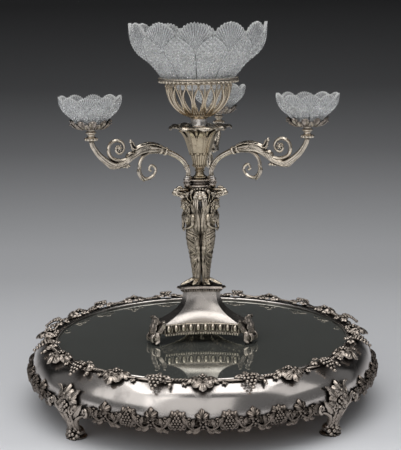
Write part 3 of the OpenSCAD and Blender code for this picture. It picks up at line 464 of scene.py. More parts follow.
def floorSweep():
    v = sweepSize
    a = np.radians(np.linspace(0, 90, 40))
    line = [(v["front"], 0.0)] + [(y, 0.0) for y in np.linspace(-1, v["bend"], 12)[:-1]]
    line += [(v["bend"] + v["radius"] * math.sin(t), v["radius"] * (1 - math.cos(t))) for t in a]
    line.append((v["bend"] + v["radius"], v["top"]))
    points = [(x, y, z) for y, z in line for x in (-v["halfWidth"], v["halfWidth"])]
    faces = [[2 * k, 2 * k + 1, 2 * k + 3, 2 * k + 2] for k in range(len(line) - 1)]
    mesh = bpy.data.meshes.new("floorSweep")
    mesh.from_pydata(points, [], faces)
    mesh.polygons.foreach_set("use_smooth", [True] * len(faces))
    material, tree, shader = newMaterial("paperSweep")
    axes = addNode(tree, "ShaderNodeSeparateXYZ", {"Vector": objectPlace(tree)}).outputs
    first, last = sweepTones[0][0], sweepTones[-1][0]
    # painted shade of the light falling off up the backdrop
    part = mapRange(tree, mathNode(tree, "ADD", axes["Y"], axes["Z"]), first, last)
    ramp = addNode(tree, "ShaderNodeValToRGB", {"Fac": part})
    stops = ramp.color_ramp.elements
    while len(stops) < len(sweepTones):
        stops.new(0.5)
    for stop, (at, grey) in zip(stops, sweepTones):
        stop.position = (at - first) / (last - first)
        stop.color = (grey * 0.99, grey, grey * 1.03, 1)
    wire(tree, shader, {"Base Color": ramp.outputs["Color"], "Roughness": 0.9, "Specular IOR Level": 0.1})
    # the paper is seen from its front only, so that the back of the piece can be looked at
    behind = addNode(tree, "ShaderNodeNewGeometry").outputs["Backfacing"]
    unseen = addNode(tree, "ShaderNodeBsdfTransparent").outputs[0]
    paper = addNode(tree, "ShaderNodeMixShader", {0: behind, 1: shader.outputs[0], 2: unseen})
    wire(tree, tree.nodes["Material Output"], {"Surface": paper.outputs[0]})
    mesh.materials.append(material)
    sweepObject = bpy.data.objects.new("floorSweep", mesh)
    bpy.context.scene.collection.objects.link(sweepObject)


floorSweep()
lamps = {"softboxLeft": dict(at=(-1.9, -1.5, 1.9), aim=(0, 0, 0.3), size=(2.4, 2.4), power=14.0),
         "softboxRight": dict(at=(2.1, -0.9, 1.7), aim=(0, 0, 0.3), size=(1.2, 1.5), power=3.0),
         "softboxTop": dict(at=(0.0, -0.1, 2.5), aim=(0, 0, 0.1), size=(3.2, 2.6), power=52.0),
         "frontCard": dict(at=(-0.35, -2.3, 1.1), aim=(0, 0, 0.1), size=(2.4, 2.2), power=9.0)}
for lampName, v in lamps.items():
    lampData = bpy.data.lights.new(lampName, "AREA")
    lampData.shape = "RECTANGLE"
    lampData.size, lampData.size_y = v["size"]
    lampData.energy = v["power"]
    lamp = bpy.data.objects.new(lampName, lampData)
    lamp.location = v["at"]
    lamp.rotation_euler = (Vector(v["aim"]) - Vector(v["at"])).to_track_quat("-Z", "Y").to_euler()
    lamp.visible_camera = False
    bpy.context.scene.collection.objects.link(lamp)
world = bpy.data.worlds.new("studio")
world.use_nodes = True
dimRoom = {"Color": (0.95, 0.97, 1.0, 1), "Strength": 0.14}
wire(world.node_tree, world.node_tree.nodes["Background"], dimRoom)
bpy.context.scene.world = world
bpy.context.scene.view_settings.view_transform = "Standard"
print("studio ready")


def nodeBox(node):  # lowest and highest corner, in millimetres
    low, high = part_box(node)
    return np.array(low) * 1000, np.array(high) * 1000


# plateau

skirtLow, skirtHigh = nodeBox("plateau_skirt")
plateau = dict(shelfIn=250.0, bellyR=skirtHigh[0], hemTuck=4.0, hemZ=skirtLow[2], shelfZ=skirtHigh[2],
               metal=2.0, bezel=2.6, track=264.0, vineRise=0.85, lugs=8, lugReach=(257.0, 285.0), lugHalf=7.0,
               lugZ=(89.0, 91.8))
# inset from the belly, depth below the shelf
shoulder = [(26, 0), (17, 8), (9, 18), (3.6, 30), (0.9, 41), (0.5, 51), (4, 62)]
skirtLine = smoothLine([(plateau["bellyR"] - inset, plateau["shelfZ"] - down) for inset, down in shoulder], 8)


def skirtRadius(z):
    return np.interp(-z, -skirtLine[:, 1], skirtLine[:, 0])


def wrapShelf(shape, degrees):  # flat x runs round the shelf, y points out, z up
    points, faces = shape
    a = math.radians(degrees) + points[:, 0] / plateau["track"]
    r = plateau["track"] + points[:, 1]
    z = plateau["shelfZ"] + plateau["vineRise"] * points[:, 2]
    return np.stack([r * np.cos(a), r * np.sin(a), z], -1), faces


def wrapSkirt(shape, degrees):  # flat x runs round the skirt, y goes up from its lower edge, z stands off it
    points, faces = shape
    z = plateau["hemZ"] + points[:, 1]
    r = skirtRadius(z) + points[:, 2]
    a = math.radians(degrees) + points[:, 0] / plateau["bellyR"]
    return np.stack([r * np.cos(a), r * np.sin(a), z], -1), faces


def skirtShape():
    p = plateau
    outer = np.vstack([[[p["shelfIn"], p["shelfZ"]]], skirtLine])
    inner = outer[::-1] - [p["metal"], 0]
    inner[-2:] = outer[1::-1] - [0, p["metal"]]
    inner[-2, 0] -= p["metal"]
    shapes = [lathe(np.vstack([outer, inner, outer[:1]]), 360)]
    half, (under, over) = p["lugHalf"], p["lugZ"]
    lugEnd = [(-half, under), (half, under), (half, over), (-half, over)]
    lug = gridShape([[(x, y, z) for y, z in lugEnd] for x in p["lugReach"]], True, True)
    shapes += [placed(lug, spin(360 * (k + 0.5) / p["lugs"])) for k in range(p["lugs"])]
    return merged(shapes)


def bezelShape():
    a = np.radians(np.linspace(0, 180, 13))
    thick = plateau["bezel"]
    r0 = plateau["shelfIn"] + thick
    line = np.stack([r0 + thick * np.cos(a), plateau["shelfZ"] + thick * np.sin(a)], -1)
    return lathe(np.vstack([line, line[:1]]), 360)


creased(addPiece("plateauSkirt", skirtShape(), "wornSilver", "plateau", ["plateau_skirt"]), 50)
addPiece("mirrorBezel", bezelShape(), "polishedSilver", "plateau", ["mirror_bezel"])

vine = dict(leaf=30.0, thick=2.4, grape=3.0, stem=2.3, ropeR=2.5, step=30, stemFrom=14.0, stemTo=54.0,
            ropeFrom=86.0, ropeTo=124.0)
# how far out, how many grapes, how high
bunchRows = [(0, 2, 10.5), (4.5, 3, 12.5), (9.5, 4, 12.5), (14.5, 4, 10), (19.5, 3, 6.0), (24, 2, 2.0),
             (28, 1, -2.0)]


def bunch(radius, jitter=0.5):
    layout = []
    for out, count, height in bunchRows:
        for k in range(count):
            wobble = rng.uniform(-jitter, jitter, 3)
            x = (k - (count - 1) / 2) * 1.85 * radius
            layout.append((x + wobble[0], out + wobble[1], height + wobble[2], rng.uniform(0.92, 1.08)))
    return grapes(layout, radius)


def vinePeriod():
    v = vine
    leaf = vineLeaf(v["leaf"], v["thick"])
    sprays = [(0, -1, 9, 90, 24, 1.08), (-5, -3, 9, 148, 17, 0.82), (5, -3, 9, 32, 17, 0.82),
              (-4, -1, 10.5, 118, 24, 0.8), (4, -1, 10.5, 62, 24, 0.8), (0, -3, 9, -90, 10, 0.42),
              (-6, -4, 7, 200, 6, 0.5), (6, -4, 7, -20, 6, 0.5)]

    def leafAt(x, y, z, turn, droop, size):
        return placed(leaf, move(x, y, z), spin(turn), spin(droop, "Y"), grow(size))

    shapes = [leafAt(*spray) for spray in sprays]
    shapes.append(grapes([(0, 1, 14.5, 1.1), (-4.5, 0, 13, 0.8), (4.5, 0, 13, 0.8), (0, -4, 13, 0.8),
                          (-2.6, 5, 13, 0.7), (2.6, 5, 13, 0.7)], v["grape"]))
    x = np.linspace(v["stemFrom"] - 6, v["stemTo"] + 6, 26)
    t = np.linspace(0, 1, 26)
    for sign in (-1, 1):  # smooth double stem
        path = np.stack([x, 3 + sign * 2.8 * np.cos(math.pi * (1.6 * t - 0.3)),
                         3.6 + sign * 1.2 * np.sin(2 * math.pi * t)], -1)
        shapes.append(sweep(path, v["stem"] * (1 - 0.2 * t), 10, up=(0, 0, 1)))
    shapes.append(leafAt(31, 4, 4, 75, 18, 0.36))
    shapes.append(placed(bunch(v["grape"]), move(69, 0, 0)))
    beside = [(63, -4, 9, 165, 8, 0.55), (75, -4, 9, 15, 8, 0.55), (69, -6, 10, -90, 8, 0.40),
              (76, 0, 8, 50, 22, 0.55)]
    shapes += [leafAt(*spray) for spray in beside]
    curl = spiralLine((89, 7), 6, 1.6, 150, -330, 26)  # tendril with a hanging bud
    shapes.append(sweep(np.column_stack([curl, np.linspace(6, 3.5, 27)]), np.linspace(1.5, 0.9, 27), 8,
                        up=(0, 0, 1)))
    shapes.append(placed(ball(3.4, 2, 1.5), move(91, 15, 1), spin(60, "X")))
    shapes.append(grapes([(91, 20.5, -1.5, 0.7), (88.5, 11, 5, 0.7)], v["grape"]))
    rows = np.linspace(v["ropeFrom"] - 4, v["ropeTo"] + 4, 46)
    rise = np.linspace(0, 1, 46)
    path = np.stack([rows, 3 - 3 * np.sin(math.pi * rise), 3.4 + 1.5 * np.sin(math.pi * rise)], -1)
    shapes.append(rope(path, v["ropeR"], 4.5, 8, up=(0, 0, 1)))
    shapes.append(leafAt(110, 4, 4, 70, 18, 0.38))
    return merged(shapes)


vineWreath = vinePeriod()
for k, corner in enumerate(corners):
    wreath = merged([wrapShelf(vineWreath, 90 * k + step) for step in (0, vine["step"], 2 * vine["step"])])
    addPiece("vineBorder_" + corner, wreath, "castSilver", "plateau",
             ["vine_border_" + corner])
print("vine border ready")

hem = dict(rope=2.2, step=7.5, spacing=38.9, leaf=25.0, thick=2.4, cup=0.14, grape=2.5, scroll=2.3)
hemLeaf = vineLeaf(hem["leaf"], hem["thick"], hem["cup"])


def hemUpright():  # upright vine leaf with fruit at its foot
    shapes = [placed(hemLeaf, move(0, 8, 2.4), spin(96))]
    shapes += [placed(hemLeaf, move(4 * s, 7, 2.8), spin(90 - 62 * s), grow(0.55)) for s in (-1, 1)]
    shapes += [placed(hemLeaf, move(3 * s, 4, 2.6), spin(90 - 118 * s), grow(0.36)) for s in (-1, 1)]
    fruit = [(0, 15, 6.2, 1), (-3.6, 11, 6, 1), (3.6, 11, 6, 1), (0, 7, 6.6, 1), (0, 2.4, 5, 0.8)]
    shapes.append(grapes(fruit, hem["grape"]))
    return merged(shapes)


def hemCluster():  # bunch of fruit under a small leaf
    sprays = [(-2, 15, 118, 0.62), (3, 15, 55, 0.62), (-5, 8, 170, 0.46), (5, 8, 10, 0.46), (0, 18, 88, 0.5)]
    shapes = [placed(hemLeaf, move(x, y, 2.4), spin(turn), grow(k)) for x, y, turn, k in sprays]
    rows = [(23, 1), (19.4, 2), (15.2, 3), (11, 4), (6.6, 3), (2.4, 2)]  # height, how many
    layout = [((k - (n - 1) / 2) * 4.7, y, 5.6 + 0.9 * (n > 2), 1) for y, n in rows for k in range(n)]
    shapes.append(grapes(layout, hem["grape"]))
    return merged(shapes)


def hemScroll():  # running scroll from one ornament to the next
    stem = smoothLine([(2, 8), (8, 2.0), (15, 0.5), (21, 5), (25, 11.5), (31, 12), (35, 7), (38, 3)], 7)
    lift = 3.0 + 1.6 * np.sin(np.linspace(0, math.pi, len(stem)))
    thick = hem["scroll"] * np.linspace(1.1, 0.75, len(stem))
    shapes = [sweep(np.column_stack([stem, lift]), thick, 9, up=(0, 0, 1), flutes=4, depth=0.14)]
    curls = (((12.5, 8.5), 7.0, -80, 340, 1.0), ((28.5, 4.0), 6.6, 80, -350, 1.0),
             ((20.5, 15.5), 3.6, -60, 320, 0.7), ((6.5, 13.5), 3.4, 200, -160, 0.7),
             ((34.5, 0.5), 3.2, 120, -220, 0.7))
    for centre, r0, start, end, k in curls:
        curl = spiralLine(centre, r0, 1.3, start, end, 30)
        shapes.append(sweep(np.column_stack([curl, np.full(31, 3.6)]), k * np.linspace(1.9, 1.0, 31), 8,
                            up=(0, 0, 1)))
    blades = (((6, 2), (18, -3.5), -2.0, 8), ((18, 3), (12, 17), 3, 7), ((21, 6), (33, 17), 4, 8),
              ((24, 8), (36, -2.5), 4, 7), ((15, 1), (27, -3.5), -2, 6))
    for start, end, bend, width in blades:
        mid = (np.array(start) + end) / 2 + [0, bend]
        line = smoothLine([start, mid, end], 9)
        path = np.column_stack([line, 4.0 + 1.6 * np.sin(np.linspace(0, math.pi, len(line)))])
        shapes.append(longLeaf(path, width, 1.5, up=(0, 0, 1), lobes=3))
    petals = np.radians(np.arange(0, 360, 72))
    flower = [(20 + 3.4 * math.cos(a), 11 + 3.4 * math.sin(a), 5.0, 0.75)
              for a in petals] + [(20, 11, 6.4, 0.8)]
    shapes.append(grapes(flower, hem["grape"]))
    return merged(shapes)


hemPieces = [hemUpright(), hemCluster()]
hemCurl = hemScroll()
for k, corner in enumerate(corners):
    shapes = []
    for j in range(12):  # the foot takes the middle of each section
        at = 90 * k + hem["step"] * j
        if abs(j - 6) > 1:
            shapes.append(wrapSkirt(hemPieces[j % 2], at))
        if j not in (5, 6):
            curl = hemCurl if j % 2 == 0 else placed(hemCurl, move(hem["spacing"]), grow(-1, 1, 1))
            shapes.append(wrapSkirt(curl, at))
    arc = np.radians(np.linspace(90 * k - 3.5, 90 * k + 86, 120))
    hemR = plateau["bellyR"] - plateau["hemTuck"]
    path = np.stack([hemR * np.cos(arc), hemR * np.sin(arc), np.full_like(arc, plateau["hemZ"])], -1)
    shapes.append(sweep(path, hem["rope"], 16, up=(0, 0, 1), flutes=3, depth=0.18, twist=120.0))
    # darkCast paints the shade under the skirt onto the foliage border
    addPiece("foliageBorder_" + corner, merged(shapes), "darkCast", "plateau",
             ["foliage_border_" + corner])
print("foliage border ready")

foot = dict(shellR=25.0, shellZ=52.0, petals=11, toeIn=14.0)


def shellFan(radius, bulge, flutes, spread):  # fluted scallop shell, hinge at the origin, fan towards +Y
    a = np.radians(np.linspace(90 - spread, 90 + spread, 61))
    rows = []
    for s, face in bothFaces((0.12, 0.3, 0.5, 0.7, 0.88, 0.97, 1.0), (0.95, 0.5, 0.12)):
        flute = np.abs(np.cos(flutes * (a - math.pi / 2)))
        r = s * radius * (0.94 + 0.06 * flute)
        z = face * (bulge * np.sin(math.pi * s * 0.85) ** 0.8 + 1.6 * flute * s + 1.2)
        rows.append(np.stack([r * np.cos(a), r * np.sin(a), z], -1))
    return gridShape(rows, True, True)


def footShape():  # x along the skirt, y up from the table, z outwards from the axis
    v = foot
    bellyR = plateau["bellyR"]
    skirtAt = lambda y: float(skirtRadius(np.array(y)))
    shapes = [placed(shellFan(v["shellR"], 7, 4.5, 100), move(0, v["shellZ"], bellyR - 1), spin(-6, "X"))]
    leaf = vineLeaf(30, 2.2, 0.12)
    for x, y, lean, k in ((0, 62, 90, 1.0), (-6, 60, 128, 0.8), (6, 60, 52, 0.8), (-9, 52, 168, 0.7),
                          (9, 52, 12, 0.7)):
        points, faces = placed(leaf, move(x, y, 0), spin(lean), grow(k))
        shapes.append((np.column_stack([points[:, :2], skirtRadius(points[:, 1]) + 5 + points[:, 2]]), faces))
    fruit = [(x, y, bellyR + 8, 1) for x, y in ((0, 64), (-5, 60), (5, 60), (0, 56), (-4, 51),
                                                (4, 51), (0, 47))]
    shapes.append(grapes(fruit, 3.2))
    for s in (-1, 1):
        side = smoothLine([(6 * s, 58, bellyR + 4), (13 * s, 72, bellyR + 4), (20 * s, 82, skirtAt(82) + 4),
                           (27 * s, 86, skirtAt(86) + 6)], 9)
        shapes.append(longLeaf(side, 9, 1.8, up=(0, 0, 1), lobes=3))
        bracket = smoothLine([(7 * s, 12, bellyR - 10), (10 * s, 24, bellyR - 6), (17 * s, 37, bellyR - 1),
                              (28 * s, 45, bellyR - 1), (40 * s, 48, bellyR - 2)], 9)
        shapes.append(sweep(bracket, np.linspace(4.6, 3.2, len(bracket)), 12, up=(0, 0, 1),
                            flutes=4, depth=0.10))
        inner = bracket + np.array([-4.5 * s, 3.5, 2.5])
        shapes.append(sweep(inner, np.linspace(2.2, 1.6, len(inner)), 9, up=(0, 0, 1)))
        curl = spiralLine((41 * s, 55), 7.5, 1.8, -90, -90 + 470 * s, 32)
        shapes.append(sweep(np.column_stack([curl, np.full(33, bellyR + 3)]), np.linspace(2.9, 1.3, 33), 9,
                            up=(0, 0, 1)))
        curl = spiralLine((12 * s, 50), 8.0, 1.8, 90, 90 + 430 * s, 30)
        shapes.append(sweep(np.column_stack([curl, np.full(31, bellyR + 6)]), np.linspace(2.6, 1.2, 31), 9,
                            up=(0, 0, 1)))
        blade = smoothLine([(16 * s, 44, bellyR + 4), (26 * s, 54, bellyR + 5), (36 * s, 66, bellyR + 4)], 10)
        shapes.append(longLeaf(blade, 12, 1.6, up=(0, 0, 1), lobes=3))
    toeR = bellyR - v["toeIn"]
    leg = smoothLine([(0, 60, bellyR - 4), (0, 42, bellyR - 3), (0, 26, bellyR - 8), (0, 14, toeR + 3),
                      (0, 9, toeR + 5)], 8)
    shapes.append(sweep(leg, taper(leg, [0, 0.35, 0.65, 1], [9, 8, 6.5, 9]), 20, up=(1, 0, 0),
                        flutes=6, depth=0.12))
    shin = smoothLine([(0, 46, bellyR + 9), (0, 32, bellyR + 3), (0, 20, bellyR - 1), (0, 13, toeR + 15)], 10)
    shapes.append(longLeaf(shin, 13, 2.0, up=(0, 0, 1), lobes=5, bite=0.5))
    for s in (-1, 1):
        calf = smoothLine([(8 * s, 44, bellyR + 6), (7 * s, 32, bellyR + 1), (7 * s, 22, bellyR - 2),
                           (12 * s, 15, toeR + 9)], 10)
        shapes.append(longLeaf(calf, 10, 1.8, up=(0, 0, 1), lobes=4, bite=0.5))
    middle, tilt = np.array([0, 11.5, toeR + 11]), math.radians(30)
    side = np.array([1, 0, 0])
    up = np.array([0, math.cos(tilt), -math.sin(tilt)])
    face = np.array([0, math.sin(tilt), math.cos(tilt)])
    # rosette toe
    for count, reach, back, size in ((1, 0, 3.0, 4.2), (6, 6.4, 0.5, 3.5), (v["petals"], 12.0, -4.0, 4.2)):
        for k in range(count):
            a = 2 * math.pi * (k + 0.5) / count
            at = middle + reach * (math.cos(a) * side + math.sin(a) * up) + back * face
            shapes.append(placed(ball(size, 3), move(*at)))
    shapes.append(placed(ball(1, 3), move(0, 9.6, toeR), grow(13.0, 9.4, 12.5)))
    shapes.append(placed(lathe([(15, 0), (16, 1.2), (15.2, 3), (11, 4.5)], 40), move(0, 0, toeR - 1),
                         spin(-90, "X")))
    points, faces = merged(shapes)
    return np.stack([points[:, 2], points[:, 0], np.maximum(points[:, 1], 0)], -1), faces


footCast = footShape()
for k, corner in enumerate(corners):
    addPiece("plateauFoot_" + corner, placed(footCast, spin(90 * k + 45)), "castSilver", "plateau",
             ["plateau_foot_" + corner])
print("plateau ready")

# pedestal

pedLow, pedHigh = nodeBox("pedestal_shell")
pedestal = dict(cornerR=84.0, topR=34.0, sag=13.0, cant=12.0, border=18.0, cavetto=2.8, metal=2.2,
                low=pedLow[2], top=pedHigh[2], eggs=10, eggWide=4.0, eggTall=6.4, eggOut=6.4, beads=30)


def sideLine(r, sag, cant, steps):  # one hollow side in plan, between two canted corners
    a = math.radians(330 - cant)
    t = np.linspace(-1, 1, steps)
    return np.stack([r * math.cos(a) * t, r * math.sin(a) + sag * (1 - t * t)], -1)


def threeSides(line, z):  # ring of three plan lines at one height
    flat = np.column_stack([line, np.full(len(line), z)])
    return np.vstack([flat @ spin(120 * k)[:3, :3].T for k in range(3)])


def pedestalShape():
    p = pedestal
    rise = np.linspace(0, 1, 44) ** 1.4
    radii = p["topR"] + (p["cornerR"] - p["topR"]) * (1 - rise) ** p["cavetto"]
    heights = p["low"] + p["border"] + rise * (p["top"] - p["low"] - p["border"])
    line = [(p["cornerR"], p["low"])] + list(zip(radii, heights))
    outer, inner = [], []
    for k, (r, z) in enumerate(line):
        sag = p["sag"] * r / p["cornerR"]
        outer.append(threeSides(sideLine(r, sag, p["cant"], 36), z))
        inner.append(threeSides(sideLine(r - p["metal"], sag, p["cant"], 36), z - p["metal"] * (k > 0)))
    return gridShape(outer + inner[::-1], loopRows=True)


def bandAlong(line, section):  # section of (out, height) carried along a plan line, out is -Y
    rows = [[(x, y - out, z) for out, z in section] for x, y in line]
    return gridShape(rows, True, True)


def ovoloSide():  # egg-and-dart with a bead row below and a fillet above
    p = pedestal
    line = sideLine(p["cornerR"], p["sag"], p["cant"], 49)
    h = p["border"]
    shapes = [bandAlong(line, [(-0.8, 0), (3.6, 0), (4.4, 1.2), (3.6, 3.0), (1.6, 3.8), (1.6, h - 2.6),
                               (3.8, h - 2.0), (4.6, h - 1.0), (3.6, h), (-0.8, h)])]
    at = lambda t: np.array([np.interp(t, np.linspace(0, 1, 49), line[:, k]) for k in (0, 1)])
    for k in range(p["eggs"]):
        x, y = at((k + 0.5) / p["eggs"])
        shapes.append(placed(ball(1, 3), move(x, y - 3.2, 0.60 * h),
                             grow(p["eggWide"], p["eggOut"], p["eggTall"])))
        u = np.radians(np.linspace(-40, 220, 34))
        cupX, cupZ = x - 1.36 * p["eggWide"] * np.cos(u), 0.60 * h - 1.22 * p["eggTall"] * np.sin(u)
        shapes.append(sweep(np.stack([cupX, np.full(34, y - 3.8), cupZ], -1), 0.95, 8, up=(0, 1, 0)))
    for k in range(p["eggs"] + 1):
        x, y = at(k / p["eggs"])
        shapes.append(placed(ball(1, 2), move(x, y - 3.6, 0.34 * h), grow(1.1, 2.6, 4.8)))
    for k in range(p["beads"]):
        x, y = at((k + 0.5) / p["beads"])
        shapes.append(placed(ball(1, 2), move(x, y - 4.4, 0.6), grow(1.9, 1.9, 2.4)))
    return merged(shapes)


def pawShape():  # x outwards, z up from the mirror
    shapes = []
    shank = smoothLine([(82, 0, 36), (88, 0, 27), (90, 0, 18), (91, 0, 10), (93, 0, 7)], 8)
    shapes.append(sweep(shank, taper(shank, [0, 0.4, 0.75, 1], [8, 9.5, 7.5, 8]), 18, up=(0, 1, 0),
                        flutes=5, depth=0.10))
    knee = smoothLine([(97, 0, 12), (98, 0, 20), (96, 0, 30), (91.5, 0, 40), (91, 0, 46), (95, 0, 47)], 9)
    shapes.append(longLeaf(knee, 25, 2.2, up=(1, 0, 0.3), lobes=6, bite=0.3))
    for s in (-1, 1):
        wing = smoothLine([(93, 6 * s, 14), (91, 12 * s, 24), (86.5, 17 * s, 33), (86, 21 * s, 40),
                           (89, 23 * s, 41)], 9)
        shapes.append(longLeaf(wing, 14, 1.8, up=(1, 0.4 * s, 0.2), lobes=4))
        side = smoothLine([(92, 8 * s, 24), (96, 13 * s, 16), (95, 15 * s, 8), (100, 16 * s, 2.5)], 9)
        shapes.append(longLeaf(side, 11, 1.6, up=(0.7, 0.5 * s, 0.5), lobes=3))
        curl = spiralLine((97, 9.5), 8.2, 2.0, 110, -330, 34)
        shapes.append(sweep(np.column_stack([curl[:, 0], np.full(35, 9.0 * s), curl[:, 1]]),
                            np.linspace(2.4, 1.4, 35), 9, up=(0, 1, 0)))
        shapes.append(placed(ball(3.0, 2), move(97, 9.6 * s, 9.5)))
    roll = spiralLine((97, 9.5), 8.0, 3.0, 110, -250, 30)  # toe rolled outwards
    path = np.column_stack([roll[:, 0], np.zeros(31), roll[:, 1]])
    shapes.append(sweep(path, np.linspace(9.0, 7.5, 31), 18, up=(0, 1, 0), flat=0.22, flutes=5, depth=0.10))
    shapes.append(placed(ball(1, 3), move(93, 0, 8), grow(9, 11, 8)))
    points, faces = merged(shapes)
    return np.column_stack([points[:, :2], np.maximum(points[:, 2], 0)]), faces


creased(addPiece("pedestalShell", pedestalShape(), "pedestalSilver", "stand",
                 ["pedestal_shell"]), 28)
ovolo = ovoloSide()
ovolo = merged([placed(ovolo, spin(120 * k), move(0, 0, pedestal["low"])) for k in range(3)])
addPiece("pedestalOvolo", ovolo, "branchSilver", "stand", ["pedestal_ovolo"])
paw = pawShape()
mirrorZ = nodeBox("mirror_plate")[1][2]
for name, angle in branches.items():
    addPiece("pawFoot_" + name, placed(paw, spin(angle), move(0, 0, mirrorZ)), "castSilver", "stand",
             ["paw_foot_" + name])

corniceLow, corniceHigh = nodeBox("cornice_plate")


def corniceShape():
    v = dict(r=46.0, sag=5.0, cant=8.0, beads=15)
    line = sideLine(v["r"], v["sag"], v["cant"], 33)
    h = corniceHigh[2] - corniceLow[2]
    # inset from the edge, share of the height
    steps = [(8, 0), (8, 0.16), (6.8, 0.34), (4, 0.50), (1.2, 0.58), (0, 0.64), (0, 0.80), (1.0, 0.86),
             (1.4, 0.94), (2.2, 1)]
    rings = [threeSides(line * (1 - inset / v["r"]), share * h) for inset, share in steps]
    shapes = [gridShape(rings, True, True)]
    for k in range(3):
        for j in range(v["beads"]):
            x, y = line[2 * j + 2]
            shapes.append(placed(ball(1.5, 2), spin(120 * k), move(x * 0.90, y * 0.90, 0.34 * h),
                                 grow(0.9, 0.9, 1.7)))
    return placed(merged(shapes), move(0, 0, corniceLow[2]))


creased(addPiece("cornicePlate", corniceShape(), "castSilver", "stand", ["cornice_plate"]), 35)
print("pedestal ready")

# figures, each faces +X before it is turned into place

figureZ = corniceHigh[2]
figure = dict(height=148.0, folds=13, headAt=(30.0, 0.0, 140.2), head=(6.8, 6.0, 8.2))
figureForm = [(0.00, 9.0, 7.6, 7.4, 0.10), (0.06, 8.6, 6.4, 6.6, 0.15), (0.20, 9.0, 7.4, 7.4, 0.17),
              (0.38, 10.8, 10.0, 9.6, 0.14), (0.52, 12.6, 12.0, 11.4, 0.10), (0.60, 13.8, 12.0, 11.6, 0.07),
              (0.69, 16.6, 9.4, 8.8, 0.04), (0.77, 19.8, 11.2, 11.2, 0.02), (0.83, 22.2, 9.2, 13.8, 0.0),
              (0.862, 24.2, 5.4, 7.4, 0.0), (0.88, 25.8, 3.8, 3.8, 0.0), (0.91, 27.4, 3.7, 3.6, 0.0)]


def drapedBody():
    form = smoothLine(figureForm, 8)
    a = np.linspace(0, 2 * math.pi, 110, endpoint=False)
    rows = []
    for share, out, deep, wide, fold in form:
        sway = 0.8 * np.sin(5 * share + 2 * np.sin(a))
        k = 1 + fold * (np.abs(np.cos(0.5 * figure["folds"] * (a + sway))) ** 0.7 * 1.6 - 0.9)
        rows.append(np.stack([out + deep * k * np.cos(a), wide * k * np.sin(a),
                              np.full_like(a, share * figure["height"])], -1))
    return gridShape(rows, True, True)


def onBody(share, a, lift):  # points on the draped body, a is their turn from its front
    form = smoothLine(figureForm, 8)
    out, deep, wide = (np.interp(share, form[:, 0], form[:, k]) for k in (1, 2, 3))
    return np.stack([out + (deep + lift) * np.cos(a), (wide + lift) * np.sin(a),
                     share * figure["height"]], -1)


def headShape():
    n, m = 40, 56
    rows = []
    for t in np.linspace(0.02, 0.98, n):
        b = math.pi * t
        a = np.linspace(-math.pi, math.pi, m, endpoint=False)
        up, flat = math.cos(b), math.sin(b)
        bump = lambda da, du, wa, wu: np.exp(-((a - da) / wa) ** 2 - ((up - du) / wu) ** 2)
        nose, brow, chin = bump(0, -0.12, 0.10, 0.16), bump(0, 0.16, 0.5, 0.10), bump(0, -0.72, 0.32, 0.18)
        lips = bump(0, -0.46, 0.20, 0.06)
        eyes = bump(0.33, 0.06, 0.16, 0.10) + bump(-0.33, 0.06, 0.16, 0.10)
        relief = 0.16 * nose + 0.05 * brow + 0.06 * chin + 0.05 * lips - 0.07 * eyes
        jaw = 1 - 0.20 * np.clip(-up, 0, 1) ** 2
        rows.append(np.stack([flat * np.cos(a) * (1 + relief), flat * np.sin(a) * jaw,
                              np.full_like(a, up)], -1))
    return placed(gridShape(rows, True, True), grow(*figure["head"]))


